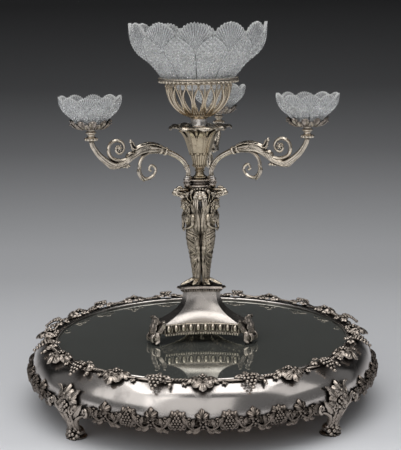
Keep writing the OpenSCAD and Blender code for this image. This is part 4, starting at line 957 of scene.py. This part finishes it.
def figureShape(mirrored):
    h = figure["height"]
    shapes = [drapedBody()]
    x, y, z = figure["headAt"]
    shapes.append(placed(headShape(), move(x, y, z)))
    for k in range(9):  # waved hair drawn back from the brow
        a = math.radians(-80 + 20 * k)
        lock = [(x + 5.4 * math.cos(a) * c - 1.0, y + 6.2 * math.sin(a) * c, z + rise)
                for c, rise in ((1.05, 3.0), (1.0, 6.2), (0.55, 8.6), (0.1, 9.0))]
        shapes.append(sweep(smoothLine(lock, 5), np.linspace(1.5, 1.2, 16), 8, up=(0.3, 0.2, 1)))
    for s in (-1, 1):
        lift = 0.012 * h * s * mirrored
        # loose locks over the shoulder
        for out, drop, reach in ((5.6, 14, 7.2), (7.2, 20, 10.5), (4.8, 17, 9.0)):
            fall = smoothLine([(x + 2, out * s, z + 4), (x - 2, (out + 2.0) * s, z - 0.2 * drop),
                               (x - 3, (out + 1.2) * s, z - 0.6 * drop), (x + 1, reach * s, z - drop)], 7)
            shapes.append(sweep(fall, np.linspace(2.0, 1.1, len(fall)), 9, up=(1, 0, 0), flutes=3,
                                depth=0.25, twist=8))
        curls = [(x - 1 + 2.5 * math.cos(1.3 * k), (7.5 + 0.5 * k) * s, z + 7.5 - 2.3 * k, 1.0 - 0.05 * k)
                 for k in range(6)]
        shapes.append(grapes(curls, 2.4))
        arm = smoothLine([(22.4, 12.4 * s, 0.825 * h), (24.4, 15.2 * s, 0.775 * h),
                          (25.0, 15.4 * s, 0.715 * h + lift), (28.5, 10.5 * s, 0.685 * h + lift),
                          (31.0, 4.2 * s, 0.672 * h + lift)], 7)
        shapes.append(sweep(arm, taper(arm, [0, 0.3, 0.55, 0.8, 1], [3.7, 3.1, 2.7, 2.2, 1.7]), 12,
                            up=(1, 0, 0.2)))
        shapes.append(placed(ball(1, 2), move(31.6, 2.6 * s, 0.668 * h + lift), spin(20 * s),
                             grow(1.7, 2.6, 1.9)))
        sleeve = smoothLine([(21.8, 10.8 * s, 0.842 * h), (23.0, 14.4 * s, 0.81 * h),
                             (24.0, 15.6 * s, 0.775 * h)], 7)
        shapes.append(sweep(sleeve, np.linspace(3.8, 4.1, len(sleeve)), 28, up=(1, 0, 0.2),
                            flutes=8, depth=0.08))
        for k, (deep, wide) in enumerate(((15, 9.0), (11, 7.0), (19, 6.0))):  # folded wing beside the gap
            wing = smoothLine([(deep + 6, 6.0 * s, 0.985 * h), (deep + 3, 11.5 * s, 0.92 * h),
                               (deep, 13.6 * s, 0.82 * h), (deep - 3, 11.6 * s, 0.70 * h),
                               (deep - 4, 8.0 * s, 0.59 * h),
                               (deep - 4.5, 6.0 * s, (0.52 - 0.05 * k) * h)], 8)
            shapes.append(longLeaf(wing, wide, 1.8, up=(0.6, 0.8 * s, 0), lobes=9, bite=0.22))
        shapes.append(placed(ball(1, 3), move(27.8, 4.3 * s, 0.775 * h), grow(4.2, 4.4, 4.6)))
        tassel = [(13.0 - 0.35 * k, (11.0 - 0.35 * k) * s, (0.58 - 0.030 * k) * h, 1 - 0.03 * k)
                  for k in range(11)]
        shapes.append(grapes(tassel, 1.6))
        hemFall = smoothLine([(14, 11.5 * s, 0.55 * h), (13, 12.5 * s, 0.45 * h), (11, 10.8 * s, 0.36 * h),
                              (10, 10.5 * s, 0.27 * h)], 7)
        shapes.append(longLeaf(hemFall, 8, 1.8, up=(0.2, s, 0), lobes=4, bite=0.5))
        shapes.append(placed(ball(1, 2), move(16, 3.2 * s, 2.6), grow(6, 2.6, 2.6)))
    turn = np.linspace(-1, 1, 25)
    bulge = np.sin(np.linspace(0.25, math.pi - 0.25, 25))
    for k in range(8):  # cloth drawn across the hips
        level = 0.655 - 0.028 * k - (0.05 + 0.010 * k) * turn * mirrored - 0.02 * turn ** 2
        fold = onBody(level, 1.9 * turn + 0.12 * math.sin(2.7 * k), 0.3)
        shapes.append(sweep(fold, (1.75 + 0.3 * math.sin(1.9 * k)) * bulge, 8, up=(0, 0, 1)))
    for k in range(6):  # loops of cloth that sag over the thighs
        fold = onBody(0.430 - 0.060 * k + 0.085 * turn ** 2, (1.45 - 0.06 * k) * turn + 0.15 * mirrored, 0.5)
        shapes.append(sweep(fold, (1.9 - 0.09 * k) * bulge, 8, up=(0, 0, 1)))
    for k in range(9):  # hanging folds
        side = -1.6 + 0.4 * k
        fold = onBody(np.linspace(0.40 - 0.10 * math.cos(side), 0.02, 25),
                      side * np.linspace(1.0, 0.9, 25), 0.1)
        shapes.append(sweep(fold, np.linspace(0.5, 1.3, 25), 8, up=(0, 1, 0)))
    belt = [(16.6 + 10.2 * math.cos(a), 9.4 * math.sin(a), 0.69 * h, 1) for a in np.linspace(-1.9, 1.9, 17)]
    shapes.append(grapes(belt, 1.3))
    for s, reach in ((0, 33.0), (-1, 20.0), (1, 20.0)):  # leaves that spread over the plate's corner
        a = math.radians(38 * s)
        rise = ((2, 12), (0.35 * reach, 10), (0.75 * reach, 5.5), (reach, 2.6))
        blade = [(8 + r * math.cos(a), r * math.sin(a), z) for r, z in rise]
        shapes.append(longLeaf(smoothLine(blade, 8), 13, 1.6, up=(0.2, 0, 1), lobes=4))
    shapes.append(placed(lathe([(9.0, 0), (9.8, 1.2), (9.0, 2.6)], 40), move(11, 0, 0)))
    return merged(shapes)


figureCasts = {1: figureShape(1), -1: figureShape(-1)}
for name, angle in branches.items():
    cast = figureCasts[-1 if name == "right" else 1]
    addPiece("figure_" + name + "_cast", placed(cast, spin(angle), move(0, 0, figureZ)), "figureSilver",
             "stand", ["figure_" + name])
print("figures ready")

# capital, collar, spool and calyx

capLow, capHigh = nodeBox("capital")


def capitalShape():
    h, reach = capHigh[2] - capLow[2], capHigh[1]
    bell = smoothLine([(22, 0), (19.5, 0.2 * h), (18.5, 0.5 * h), (21, 0.85 * h),
                       (23.5, h - 1.4), (24, h)], 6)
    shapes = [lathe(bell, 96, lambda a, k: 1 + 0.03 * np.cos(18 * a))]
    for angle in branches.values():
        leaf = smoothLine([(20, 0, -4), (24, 0, 5), (0.62 * reach, 0, 13.0), (0.85 * reach, 0, 16.5),
                           (0.985 * reach, 0, 15.5), (0.98 * reach, 0, 11.5)], 8)
        shapes.append(placed(longLeaf(leaf, 19, 2.2, up=(1, 0, 1), lobes=6), spin(angle)))
        for s in (-1, 1):
            for far, wide, top in ((36, 19, 15), (31, 24, 19)):
                side = smoothLine([(20, 6 * s, -2), (0.72 * far, 0.5 * wide * s, 0.4 * top),
                                   (0.9 * far, 0.85 * wide * s, 0.9 * top), (far, wide * s, top),
                                   (far + 1, (wide + 2) * s, top - 4)], 7)
                shapes.append(placed(longLeaf(side, 12, 1.7, up=(1, 0, 1), lobes=4), spin(angle)))
            line = spiralLine((0.84 * reach, h - 8.5), 6.0, 1.3, 100, -400, 40)
            curl = np.vstack([[(22, h - 4.5), (0.66 * reach, h - 3.0)], line])
            curl = np.column_stack([curl[:, 0], np.full(len(curl), 4.6 * s), curl[:, 1]])
            shapes.append(placed(sweep(curl, np.linspace(2.4, 1.3, len(curl)), 9), spin(angle)))
        gap = [placed(shellFan(12, 3.6, 4.5, 95), move(23, 0, 6.5), spin(90), spin(90, "X"))]
        gap.append(placed(ball(4.6, 3), move(27.2, 0, 7.5)))
        for s in (-1, 1):  # strands that fall from the shell down the gap
            for k in range(3):
                fall = [(24 - k, (3 + 3 * k) * s, 8 - k), (21.5 - k, (5 + 3 * k) * s, -4),
                        (17.5 - k, (4.5 + 2.6 * k) * s, -22), (14.5 - k, (3.2 + 2 * k) * s, -46)]
                gap.append(sweep(smoothLine(fall, 8), np.linspace(2.0, 1.0, 25), 9, up=(0, 1, 0), flutes=3,
                                 depth=0.2, twist=6))
        gap += beadArc(7, 24.0, h - 3.0, 2.2)
        shapes += [placed(g, spin(angle + 60)) for g in gap]
    return placed(merged(shapes), move(0, 0, capLow[2]))


def beadArc(count, radius, z, size):  # a short arc of beads over a shell
    beside = [k - (count - 1) / 2 for k in range(count)]
    return [placed(ball(size, 2), spin(11 * k), move(radius, 0, z + 1.6 * math.cos(0.8 * k))) for k in beside]


addPiece("capitalLeaves", capitalShape(), "branchSilver", "stand", ["capital"])

collarLow, collarHigh = nodeBox("branch_collar")


def collarShape():
    h = collarHigh[2] - collarLow[2]
    line = smoothLine([(22, 0), (25, 0.1 * h), (25.4, 0.25 * h), (22.4, 0.42 * h), (21.6, 0.6 * h),
                       (24.4, 0.78 * h), (27.6, 0.86 * h), (27.8, 0.94 * h), (26, h), (15, h)], 6)
    shapes = [lathe(line, 120, lambda a, k: 1 + 0.012 * np.cos(24 * a) * (k < 18))]
    cup = [(4.6, h), (7.2, h), (8, h - 0.8), (8, 0.72 * h), (7.2, 0.62 * h), (8, 0.5 * h), (7.4, 0.2 * h),
           (5.0, 0), (4.6, 0), (4.6, h)]
    for angle in branches.values():
        shapes.append(placed(lathe(cup, 48), spin(angle), move(23)))
        shapes += [placed(ball(1.4, 2), spin(angle), move(23), spin(24 * k), move(7.8, 0, 0.55 * h))
                   for k in range(15)]
    return placed(merged(shapes), move(0, 0, collarLow[2]))


creased(addPiece("branchCollar", collarShape(), "castSilver", "stand", ["branch_collar"]), 40)

spoolLow, spoolHigh = nodeBox("stem_spool")
spoolLine = smoothLine([(13, 0), (13.4, 1.2), (12.6, 2.6), (9, 5), (7.2, 9.5), (7.0, 11), (8.6, 12.2),
                        (8.6, 13.4), (7.4, 14.4), (9.6, 18.2), (10.2, 20)], 6)
spool = lathe(spoolLine * [1, (spoolHigh[2] - spoolLow[2]) / spoolLine[-1, 1]], 72)
creased(addPiece("stemSpool", placed(spool, move(0, 0, spoolLow[2])), "gildedSilver", "stand",
                 ["stem_spool"]), 40)

calyxLow, calyxHigh = nodeBox("calyx_body")


def calyxShape():
    h = calyxHigh[2] - calyxLow[2]
    line = smoothLine([(11, 0), (11, 0.05 * h), (13, 0.2 * h), (16.5, 0.4 * h), (21, 0.64 * h),
                       (27.2, 0.86 * h), (34, h - 2), (33, h), (18, h)], 8)
    shapes = [lathe(line, 180, lambda a, k: 1 + 0.10 * np.abs(np.cos(9 * a)) ** 0.7 - 0.06)]
    for k in range(9):
        leaf = [(16.6, 0, 24), (19.0, 0, 33), (22.2, 0, 43), (26.0, 0, 52), (31.0, 0, 59), (36.0, 0, 62)]
        shapes.append(placed(longLeaf(smoothLine(leaf, 8), 15, 1.6, up=(1, 0, -0.2), lobes=1, bite=0.0),
                             spin(40 * k)))
        spear = [(15.5, 0, 20), (18.5, 0, 32), (22.0, 0, 43), (26.5, 0, 53)]
        shapes.append(placed(longLeaf(smoothLine(spear, 8), 7, 1.8, up=(1, 0, -0.2), lobes=1, bite=0.0),
                             spin(40 * k + 20)))
    shapes += [placed(ball(1.6, 2), spin(20 * k), move(11.6, 0, 1.6)) for k in range(18)]
    return placed(merged(shapes), move(0, 0, calyxLow[2]))


def corollaShape():  # leaves that rise over the lip, turn out flat and curl at the tip
    shapes = []
    for k in range(9):
        far = 51.0 + 2.5 * math.cos(2.2 * k)
        leaf = smoothLine([(26, 0, -7), (32, 0, -3.2), (39, 0, -0.2), (0.92 * far, 0, 1.6), (far, 0, 0.2),
                           (far + 0.8, 0, -3.6)], 8)
        shapes.append(placed(longLeaf(leaf, 31, 1.8, up=(0, 0, 1), lobes=6, bite=0.22, rib=0.2),
                             spin(40 * k)))
        tongue = smoothLine([(26, 0, -6), (31, 0, -2.6), (37, 0, -0.2), (42, 0, -1.6)], 8)
        shapes.append(placed(longLeaf(tongue, 19, 1.6, up=(0, 0, 1), lobes=3, rib=0.2), spin(40 * k + 20)))
    shapes.append(lathe([(24, -3), (34.5, -2.6), (35.5, -1.4), (34, -0.4), (24, -0.2), (24, -3)], 96))
    return placed(merged(shapes), move(0, 0, calyxHigh[2]))


addPiece("calyxBody", calyxShape(), "gildedSilver", "stand", ["calyx_body"])
addPiece("calyxLeaves", corollaShape(), "branchSilver", "stand", ["calyx_leaves"])
print("stand ready")

# basket

neckLow, neckHigh = nodeBox("basket_neck")
latticeLow, latticeHigh = nodeBox("basket_lattice")
rimLow, rimHigh = nodeBox("basket_rim")
basket = dict(ballR=53.9, ballZ=rimLow[2] - 6.0, lancets=16, strap=1.65, bar=1.1, half=7.6,
              crossing=0.90, lean=0.5)


def onBall(x, z, angle, lift=0.0):  # x is sideways from the lancet's middle
    r = np.sqrt(basket["ballR"] ** 2 - (basket["ballZ"] - z) ** 2)
    a = math.radians(angle) + np.arcsin(np.clip(x / r, -1, 1))
    return np.stack([(r + lift) * np.cos(a), (r + lift) * np.sin(a), z], -1)


def latticeShape():
    b = basket
    low, high = latticeLow[2] + 1.0, latticeHigh[2] - 0.4
    cross = latticeLow[2] + b["crossing"] * (latticeHigh[2] - latticeLow[2])
    shapes = []
    t = np.linspace(0, 1, 26)
    bulge = b["half"] * np.sin(math.pi * t ** 1.12)
    z = low + (cross - low) * t
    above = np.linspace(cross, high, 8)[1:]
    for k in range(b["lancets"]):
        angle = 360 * k / b["lancets"] - 90
        outX, outY = math.cos(math.radians(angle)), math.sin(math.radians(angle))
        for s in (-1, 1):
            x = np.concatenate([s * bulge, -s * b["lean"] * (above - cross)])
            path = onBall(x, np.concatenate([z, above]), angle, 0.25 * s)
            shapes.append(sweep(path, b["strap"], 10, up=(outX, outY, 0.3), flat=0.8))
        bar = onBall(np.zeros(20), np.linspace(low, high, 20), angle + 180 / b["lancets"])
        shapes.append(sweep(bar, b["bar"], 8, up=(-outY, outX, 0)))
        shapes.append(placed(ball(2.0, 2), move(*onBall(np.array([0.0]), np.array([cross]), angle, 1.2)[0])))
    for height, r in ((latticeLow[2] + 1.4, 1.6), (latticeHigh[2] - 1.0, 1.3)):
        radius = math.sqrt(b["ballR"] ** 2 - (b["ballZ"] - height) ** 2)
        a = np.radians(np.linspace(0, 360, 15))
        ring = np.stack([radius + r * np.cos(a), height + r * np.sin(a)], -1)
        shapes.append(lathe(ring, 120))
    return merged(shapes)


def neckShape():
    v = dict(spigot=15.0, spigotR=7.0, ballR=55.0)
    h = neckHigh[2] - neckLow[2] - v["spigot"]
    mouth = math.sqrt(v["ballR"] ** 2 - (basket["ballZ"] - neckHigh[2]) ** 2)
    line = smoothLine([(15.5, 0), (16.2, 0.05 * h), (15.2, 0.12 * h), (14.0, 0.22 * h), (13.7, 0.42 * h),
                       (13.8, 0.66 * h), (14.4, 0.82 * h), (mouth - 1.6, 0.95 * h), (mouth, h)], 7)
    line = np.vstack([[(v["spigotR"], -v["spigot"]), (v["spigotR"], 0)], line])
    return placed(lathe(line, 96), move(0, 0, neckLow[2] + v["spigot"]))


def rimShape():  # band of gadroons under a beaded half-round
    h = rimHigh[2] - rimLow[2]
    line = smoothLine([(53.4, 0), (57, 0.3), (62.5, 1.0), (66.2, 2.2), (67.3, 3.6), (66.3, 4.9)], 5)
    top = smoothLine([(66.0, 5.0), (68.3, 5.6), (68.5, 6.6), (67.3, 7.6), (64.6, h)], 5)
    line = np.vstack([line, top, [(62.7, h), (53.4, 0)]])
    gadroon = len(smoothLine([(0, 0)] * 6, 5))
    swell = np.sin(np.linspace(0, math.pi, len(line)) * len(line) / gadroon).clip(0, 1)
    depth = np.where(np.arange(len(line)) < gadroon, swell, 0)

    def gadroons(a, k):
        return 1 + 0.020 * depth[k] * (np.abs(np.cos(32 * a + 0.9 * k / 10)) - 0.5)

    shapes = [lathe(line, 384, gadroons)]
    shapes += [placed(ball(3.0, 2), spin(7.5 * k), move(65.6, 0, 2.7)) for k in range(48)]
    shapes += [placed(ball(1.9, 2), spin(5 * k), move(66.6, 0, 6.6)) for k in range(72)]
    return placed(merged(shapes), move(0, 0, rimLow[2]))


addPiece("basketLattice", latticeShape(), "strapSilver", "basket", ["basket_lattice"])
creased(addPiece("basketNeck", neckShape(), "polishedSilver", "basket", ["basket_neck"]), 50)
creased(addPiece("basketRim", rimShape(), "branchSilver", "basket", ["basket_rim"]), 50)
print("basket ready")

# cut glass

innerRows = 16  # the inside of a bowl is plain
centreBowl = dict(line=[(38, -20), (48, -10), (62, 0), (81.4, 22.75), (104.1, 41.86), (114, 63.7), (116, 91)],
                  glass=5.0, count=12, dip=21.0, turn=-92.6, teeth=11, tooth=3.4, fan=17, fanAt=47.0,
                  pitch=10.0, depth=2.5, mitre=2.0, veeAt=40.0, columns=72, rows=96)
sideDish = dict(line=[(16, 0), (21.8, 5.04), (30.2, 14), (42.9, 25.5), (49.5, 37.74), (51, 51)], glass=3.5,
                count=10, dip=8.0, turn=-90.0, teeth=9, tooth=2.0, fan=13, fanAt=26.0, pitch=6.4, depth=1.6,
                mitre=1.3, veeAt=22.0, columns=54, rows=68)


def scatter(i, j):  # number from 0 to 1 that each facet of the cutting keeps
    return np.sin(i * 12.9898 + j * 78.233) * 43758.5453 % 1.0


def wave(x):  # sharp V grooves, 0 at the bottom and 1 on the ridge
    return np.abs(((x % 1.0) - 0.5) * 2)


def bowlShape(v):
    line = smoothLine(v["line"], 12)
    run = np.concatenate([[0], np.cumsum(np.linalg.norm(np.diff(line, axis=0), axis=1))])
    total = v["count"] * v["columns"]
    pitchA = 2 * math.pi / v["count"]
    a = np.linspace(0, 2 * math.pi, total, endpoint=False)
    local = ((a / pitchA + 0.5) % 1.0 - 0.5) * 2  # -1 to 1 across a scallop, 0 at its middle
    tipZ = line[-1, 1]
    arc = 1 - np.sqrt(np.clip(1 - np.abs(local) ** 2, 0, 1))
    scallop = v["dip"] * (0.45 * arc + 0.55 * np.abs(local) ** 1.9)
    edgeZ = tipZ - scallop - v["tooth"] * wave(local * v["teeth"] / 2 + 0.5)
    edgeRun = np.interp(edgeZ, line[:, 1], run)
    slope = unit(np.gradient(line, axis=0))
    rows, cuts = [], []
    for t in np.linspace(0, 1, v["rows"]) ** 0.9:
        s = t * edgeRun
        r, z = np.interp(s, run, line[:, 0]), np.interp(s, run, line[:, 1])
        nr, nz = np.interp(s, run, slope[:, 1]), -np.interp(s, run, slope[:, 0])
        across = local * pitchA / 2 * r
        over = z - v["fanAt"]
        # ogival line from the V up to the valley
        toArch = z - (v["veeAt"] + (tipZ - v["dip"] - v["veeAt"]) * np.abs(local) ** 0.62)
        fan = wave(np.arctan2(across, over + 0.12 * v["dip"]) / math.pi * v["fan"] * 1.6)
        diamond = np.minimum(wave((across + s) / v["pitch"]), wave((across - s) / v["pitch"]))
        one, two = (across + s) * 2 / v["pitch"], (across - s) * 2 / v["pitch"]
        fine = np.minimum(wave(one), wave(two))
        hobnail = (1 - np.minimum(1, 1.6 * diamond)) + 0.3 * (1 - fine) * (diamond > 0.4)
        cut = np.where(toArch > 0, 0.75 * (1 - fan), hobnail)
        groove = np.maximum(0, 1 - np.abs(toArch) / v["mitre"])
        below = np.maximum(0, 1 - np.abs(across) / v["mitre"]) * (z < v["veeAt"])
        start = np.clip((s - run[-1] * 0.16) / (0.03 * run[-1]), 0, 1)
        deepest = np.maximum(np.maximum(cut, 1.5 * groove), 1.5 * below)
        depth = v["depth"] * deepest * start * np.clip((edgeRun - s) / 1.5, 0.25, 1)
        rows.append(np.stack([(r - depth * nr) * np.cos(a), (r - depth * nr) * np.sin(a),
                              z - depth * nz], -1))
        # painted light on the glass: the rim, fan lines, random facets and mitre edges take the white tint as
        # painted highlights and glints, the middle of the mitres the dark tint as painted shade
        lip = np.clip(1 - (edgeRun - s) / 3.0, 0, 1)
        glint = scatter(np.floor(one), np.floor(two))  # painted glints: random small facets take the white tint and a rougher finish
        facets = np.where((fine > 0.12) & (glint > 0.40), 1.0, plainGlass)
        hatch = np.where(toArch > 0, np.where(fan < 0.36, 0.95, 0.5 * plainGlass), facets)
        mitres = np.maximum(groove, below)
        hatch = np.where(mitres > 0.45, 0.0, np.where(mitres > 0.02, 1.0, hatch))
        cuts.append(np.maximum(hatch * start + plainGlass * (1 - start), lip))
    for t in np.linspace(1, 0, innerRows):
        s = t * edgeRun
        r = np.interp(s, run, line[:, 0] - v["glass"] * slope[:, 1])
        z = np.interp(s, run, line[:, 1] + v["glass"] * slope[:, 0])
        z = np.where(t > 0.98, np.interp(s, run, line[:, 1]), z)
        rows.append(np.stack([r * np.cos(a), r * np.sin(a), z], -1))
    inside = np.full((innerRows - 1) * total + 2, 0.9 * plainGlass)
    v["cuts"] = np.concatenate(cuts + [np.ones(total), inside])
    return placed(gridShape(rows, True, True), spin(v["turn"]))


bowlTop = nodeBox("centre_bowl")[1][2]
bowl = placed(bowlShape(centreBowl), move(0, 0, bowlTop - centreBowl["line"][-1][1]))
addPiece("centreBowlGlass", bowl, "cutGlass", "centre_bowl", ["centre_bowl"], True,
         centreBowl["cuts"])
print("large bowl ready")

# branches, built along +X from the socket's axis

arm = dict(reach=177.0, rise=69.5, tube=3.7, socket=23.0, backSwing=-12.0)
stemForm = [(0, 0), (0, 0.14), (0.05, 0.36), (0.12, 0.50), (0.23, 0.63), (0.35, 0.71), (0.47, 0.71),
            (0.57, 0.60), (0.67, 0.44), (0.78, 0.40), (0.90, 0.60), (0.975, 0.84), (1, 1)]
upperCurl = [(113, 36), (126, 34.5), (138, 37.5), (145, 44), (147, 55), (142, 64.5), (132, 68), (123, 64.5),
             (119, 57), (121.5, 49.5), (127.5, 46.5), (133, 50.5), (133, 56.5), (128.5, 58)]
lowerCurl = [(62, 48), (74, 45), (83, 40), (89.5, 31), (92, 20.5), (89, 7.5), (80, 0.8), (67.5, 4.6),
             (61.5, 13.5), (64.5, 20.5), (70.5, 22.5), (74, 16.5), (70, 13.5)]


def flatPath(points, steps):  # a line of (out, up) in the branch's plane
    line = smoothLine(points, steps)
    return np.column_stack([line[:, 0], np.zeros(len(line)), line[:, 1]])


def ringAt(path, share, profile, segments=28):  # turned ring threaded on a path
    k = int(share * (len(path) - 1))
    t = unit(path[min(k + 1, len(path) - 1)] - path[k - 1])
    turn = np.eye(4)
    turn[:3, :3] = np.array(Vector((0, 0, 1)).rotation_difference(Vector(t)).to_matrix())
    return placed(lathe(profile, segments), move(*path[k]), turn)


def branchShape():
    v = arm
    stem = flatPath([(x * v["reach"], z * v["rise"]) for x, z in stemForm], 10)
    t = np.linspace(0, 1, len(stem))
    firstSwell = 0.95 * np.exp(-((t - 0.46) / 0.10) ** 2)
    secondSwell = 0.42 * np.exp(-((t - 0.73) / 0.12) ** 2)
    thick = v["tube"] * (1 + firstSwell + secondSwell)
    shapes = [sweep(stem, thick, 24, up=(0, 1, 0), flutes=6, depth=0.16)]
    knop = [(3.4, -3), (6.4, -2.4), (7.4, 0), (6.4, 2.4), (3.4, 3)]
    shapes += [ringAt(stem, share, knop) for share in (0.345, 0.375)]
    shapes.append(ringAt(stem, 0.12, [(3.4, -1.6), (5.0, -0.8), (5.0, 0.8), (3.4, 1.6)]))
    for line, r0, r1 in ((upperCurl, 3.3, 1.7), (lowerCurl, 3.4, 1.7)):
        path = flatPath(line, 8)
        shapes.append(sweep(path, np.linspace(r0, r1, len(path)), 16, up=(0, 1, 0), flutes=4, depth=0.12))
    shapes += [placed(ball(1, 2), move(128.5, y, 55.5), grow(3.4, 2.6, 3.4)) for y in (-2.2, 2.2)]
    petals = [(128.5 + 4.2 * math.cos(a), 55.5 + 4.2 * math.sin(a))
              for a in np.radians(np.arange(0, 360, 60))]
    shapes += [placed(ball(1.5, 2), move(x, y, z)) for x, z in petals for y in (-2, 2)]
    leaves = [([(44, 49), (58, 56), (74, 59), (90, 56.5), (100, 52), (107, 55)], 20, 7, (0, 0, 1)),
              ([(46, 44), (58, 47), (72, 49), (84, 47), (91, 42.5)], 17, 6, (0, 0, -1)),
              ([(95, 50), (101, 58), (104, 64), (108, 65)], 8, 3, (1, 0, 0.4)),
              ([(98, 44), (107, 46), (113, 43), (116, 38)], 13, 4, (0, 0, 1)),
              ([(122, 29), (132, 24), (142, 24), (151, 30), (156, 38)], 13, 5, (0.2, 0, -1)),
              ([(158, 42), (164, 44), (170, 50), (173, 58), (178, 60)], 10, 4, (1, 0, -0.3)),
              ([(90, 24), (94, 14), (90, 4), (83, -3)], 10, 4, (1, 0, 0)),
              ([(3, 10), (6, 18), (13, 27), (21, 31)], 9, 3, (0.5, 0, 1))]
    for line, width, lobes, up in leaves:
        shapes.append(longLeaf(flatPath(line, 8), width, 1.7, up=up, lobes=lobes, bite=0.16))
    for s in (-1, 1):
        for line, width, out in (([(64, 52), (78, 56), (92, 52), (101, 44)], 10, 6.0),
                                 ([(100, 46), (109, 40), (116, 32), (119, 25)], 9, 4.0),
                                 ([(124, 33), (136, 27), (147, 29), (155, 37)], 8, 3.6)):
            path = flatPath(line, 8)
            path[:, 1] = s * out * np.sin(np.linspace(0.4, math.pi * 0.95, len(path)))
            shapes.append(longLeaf(path, width, 1.5, up=(0, s, 0.5), lobes=4, bite=0.16))
    bud = [(102, 49), (105, 57), (106.5, 62)]
    shapes.append(sweep(flatPath(bud, 6), np.linspace(2.2, 1.2, 13), 9, up=(0, 1, 0)))
    shapes.append(placed(ball(2.6, 2, 1.25), move(107, 0, 65)))
    for k in range(14):  # fruit under the stem
        a, r = 2.4 * k, 0.9 * math.sqrt(k) * 1.6
        at = (115 + r * math.cos(a), r * math.sin(a), 27.5 - 0.5 * (k % 3) - 0.25 * k)
        shapes.append(placed(ball(2.1, 2), move(*at)))
    return merged(shapes)


nozzleLow, nozzleHigh = nodeBox("nozzle_left")


def nozzleShape():
    h = nozzleHigh[2] - nozzleLow[2]
    line = smoothLine([(3.6, 0), (5.4, 0.02 * h), (8.6, 0.08 * h), (8.6, 0.26 * h), (6.2, 0.36 * h),
                       (5.7, 0.48 * h), (6.6, 0.58 * h), (8.4, 0.63 * h), (8.4, 0.73 * h), (6.4, 0.79 * h),
                       (6.0, 0.86 * h), (7.2, h)], 5)
    line = np.vstack([line, [(4.05, h), (4.05, 0.3 * h)]])
    shapes = [lathe(line, 56)]
    shapes += [placed(ball(2.55, 2), spin(36 * k), move(8.8, 0, 0.17 * h)) for k in range(10)]
    return merged(shapes)


def holderShape():  # leaf cup, z up from the nozzle
    shapes = [lathe([(4, 0.4), (8, 0), (19, 0), (20, 0.8), (19, 1.6), (4, 1.6), (4, 0.4)], 72),
              lathe([(3.9, -14), (3.9, 0.8)], 32)]
    for k in range(10):
        leaf = smoothLine([(15, 0, 0.6), (20.5, 0, 1.2), (25.5, 0, 4.2), (28.6, 0, 8.2), (30.6, 0, 11.6),
                           (32.8, 0, 13), (34.0, 0, 10.8)], 7)
        shapes.append(placed(longLeaf(leaf, 15, 1.5, up=(0.3, 0, 1), lobes=5, bite=0.3), spin(36 * k)))
        small = smoothLine([(17, 0, 0.2), (23, 0, 1.2), (28.5, 0, 4.6), (32.0, 0, 8.0), (34, 0, 6.6)], 7)
        shapes.append(placed(longLeaf(small, 9, 1.3, up=(0.3, 0, 1), lobes=3), spin(36 * k + 18)))
        shapes.append(placed(ball(1.5, 2), spin(36 * k + 18), move(20, 0, 0.4)))
    return merged(shapes)


def sleeveShape(low, high):
    v = dict(bore=3.05, wall=4.4, flange=7.0, thick=2.5, edge=0.6)
    under = high - v["thick"]
    return lathe([(v["bore"], low), (v["wall"], low), (v["wall"], under), (v["flange"] - 0.4, under),
                  (v["flange"], under + v["edge"]), (v["flange"], high - v["edge"]),
                  (v["flange"] - v["edge"], high), (v["bore"], high), (v["bore"], low)], 48)


def spigotShape(low, high):
    v = dict(pin=3.0, disc=5.5, thick=3.0, edge=0.6)
    seat = high - v["thick"]
    return lathe([(v["pin"], low), (v["pin"], seat), (v["disc"] - 0.5, seat), (v["disc"], seat + v["edge"]),
                  (v["disc"], high - v["edge"]), (v["disc"] - 0.7, high)], 48)


spigotLow, spigotHigh = nodeBox("branch_spigot_left")
dishFloor = nodeBox("dish_left")[0][2]
sleeve = sleeveShape(*(corner[2] for corner in nodeBox("socket_sleeve_left")))
spigot = spigotShape(spigotLow[2], spigotHigh[2])
branchCast, nozzleCast = branchShape(), nozzleShape()
holderCast, dishCast = holderShape(), bowlShape(sideDish)
for name, angle in branches.items():
    axis = spin(angle) @ move(arm["socket"])
    swung = axis @ spin(arm["backSwing"] if name == "back" else 0)
    far = swung @ move(arm["reach"])
    creased(addPiece("socketSleeve_" + name, placed(sleeve, axis), "polishedSilver", "sleeve_" + name,
                     ["socket_sleeve_" + name]))
    creased(addPiece("branchSpigot_" + name, placed(spigot, axis), "polishedSilver", "arm_" + name,
                     ["branch_spigot_" + name]))
    addPiece("scrollBranch_" + name, placed(branchCast, swung, move(0, 0, spigotHigh[2])), "branchSilver",
             "arm_" + name, ["branch_" + name])
    addPiece("branchNozzle_" + name, placed(nozzleCast, far, move(0, 0, nozzleLow[2])), "branchSilver",
             "arm_" + name, ["nozzle_" + name])
    addPiece("dishHolder_" + name, placed(holderCast, far, move(0, 0, nozzleHigh[2])), "castSilver",
             "holder_" + name, ["dish_holder_" + name])
    turn = spin(-angle + (-arm["backSwing"] if name == "back" else 0))
    addPiece("dishGlass_" + name, placed(dishCast, far, move(0, 0, dishFloor), turn), "cutGlass",
             "dish_" + name, ["dish_" + name], True, sideDish["cuts"])
print("branches ready")
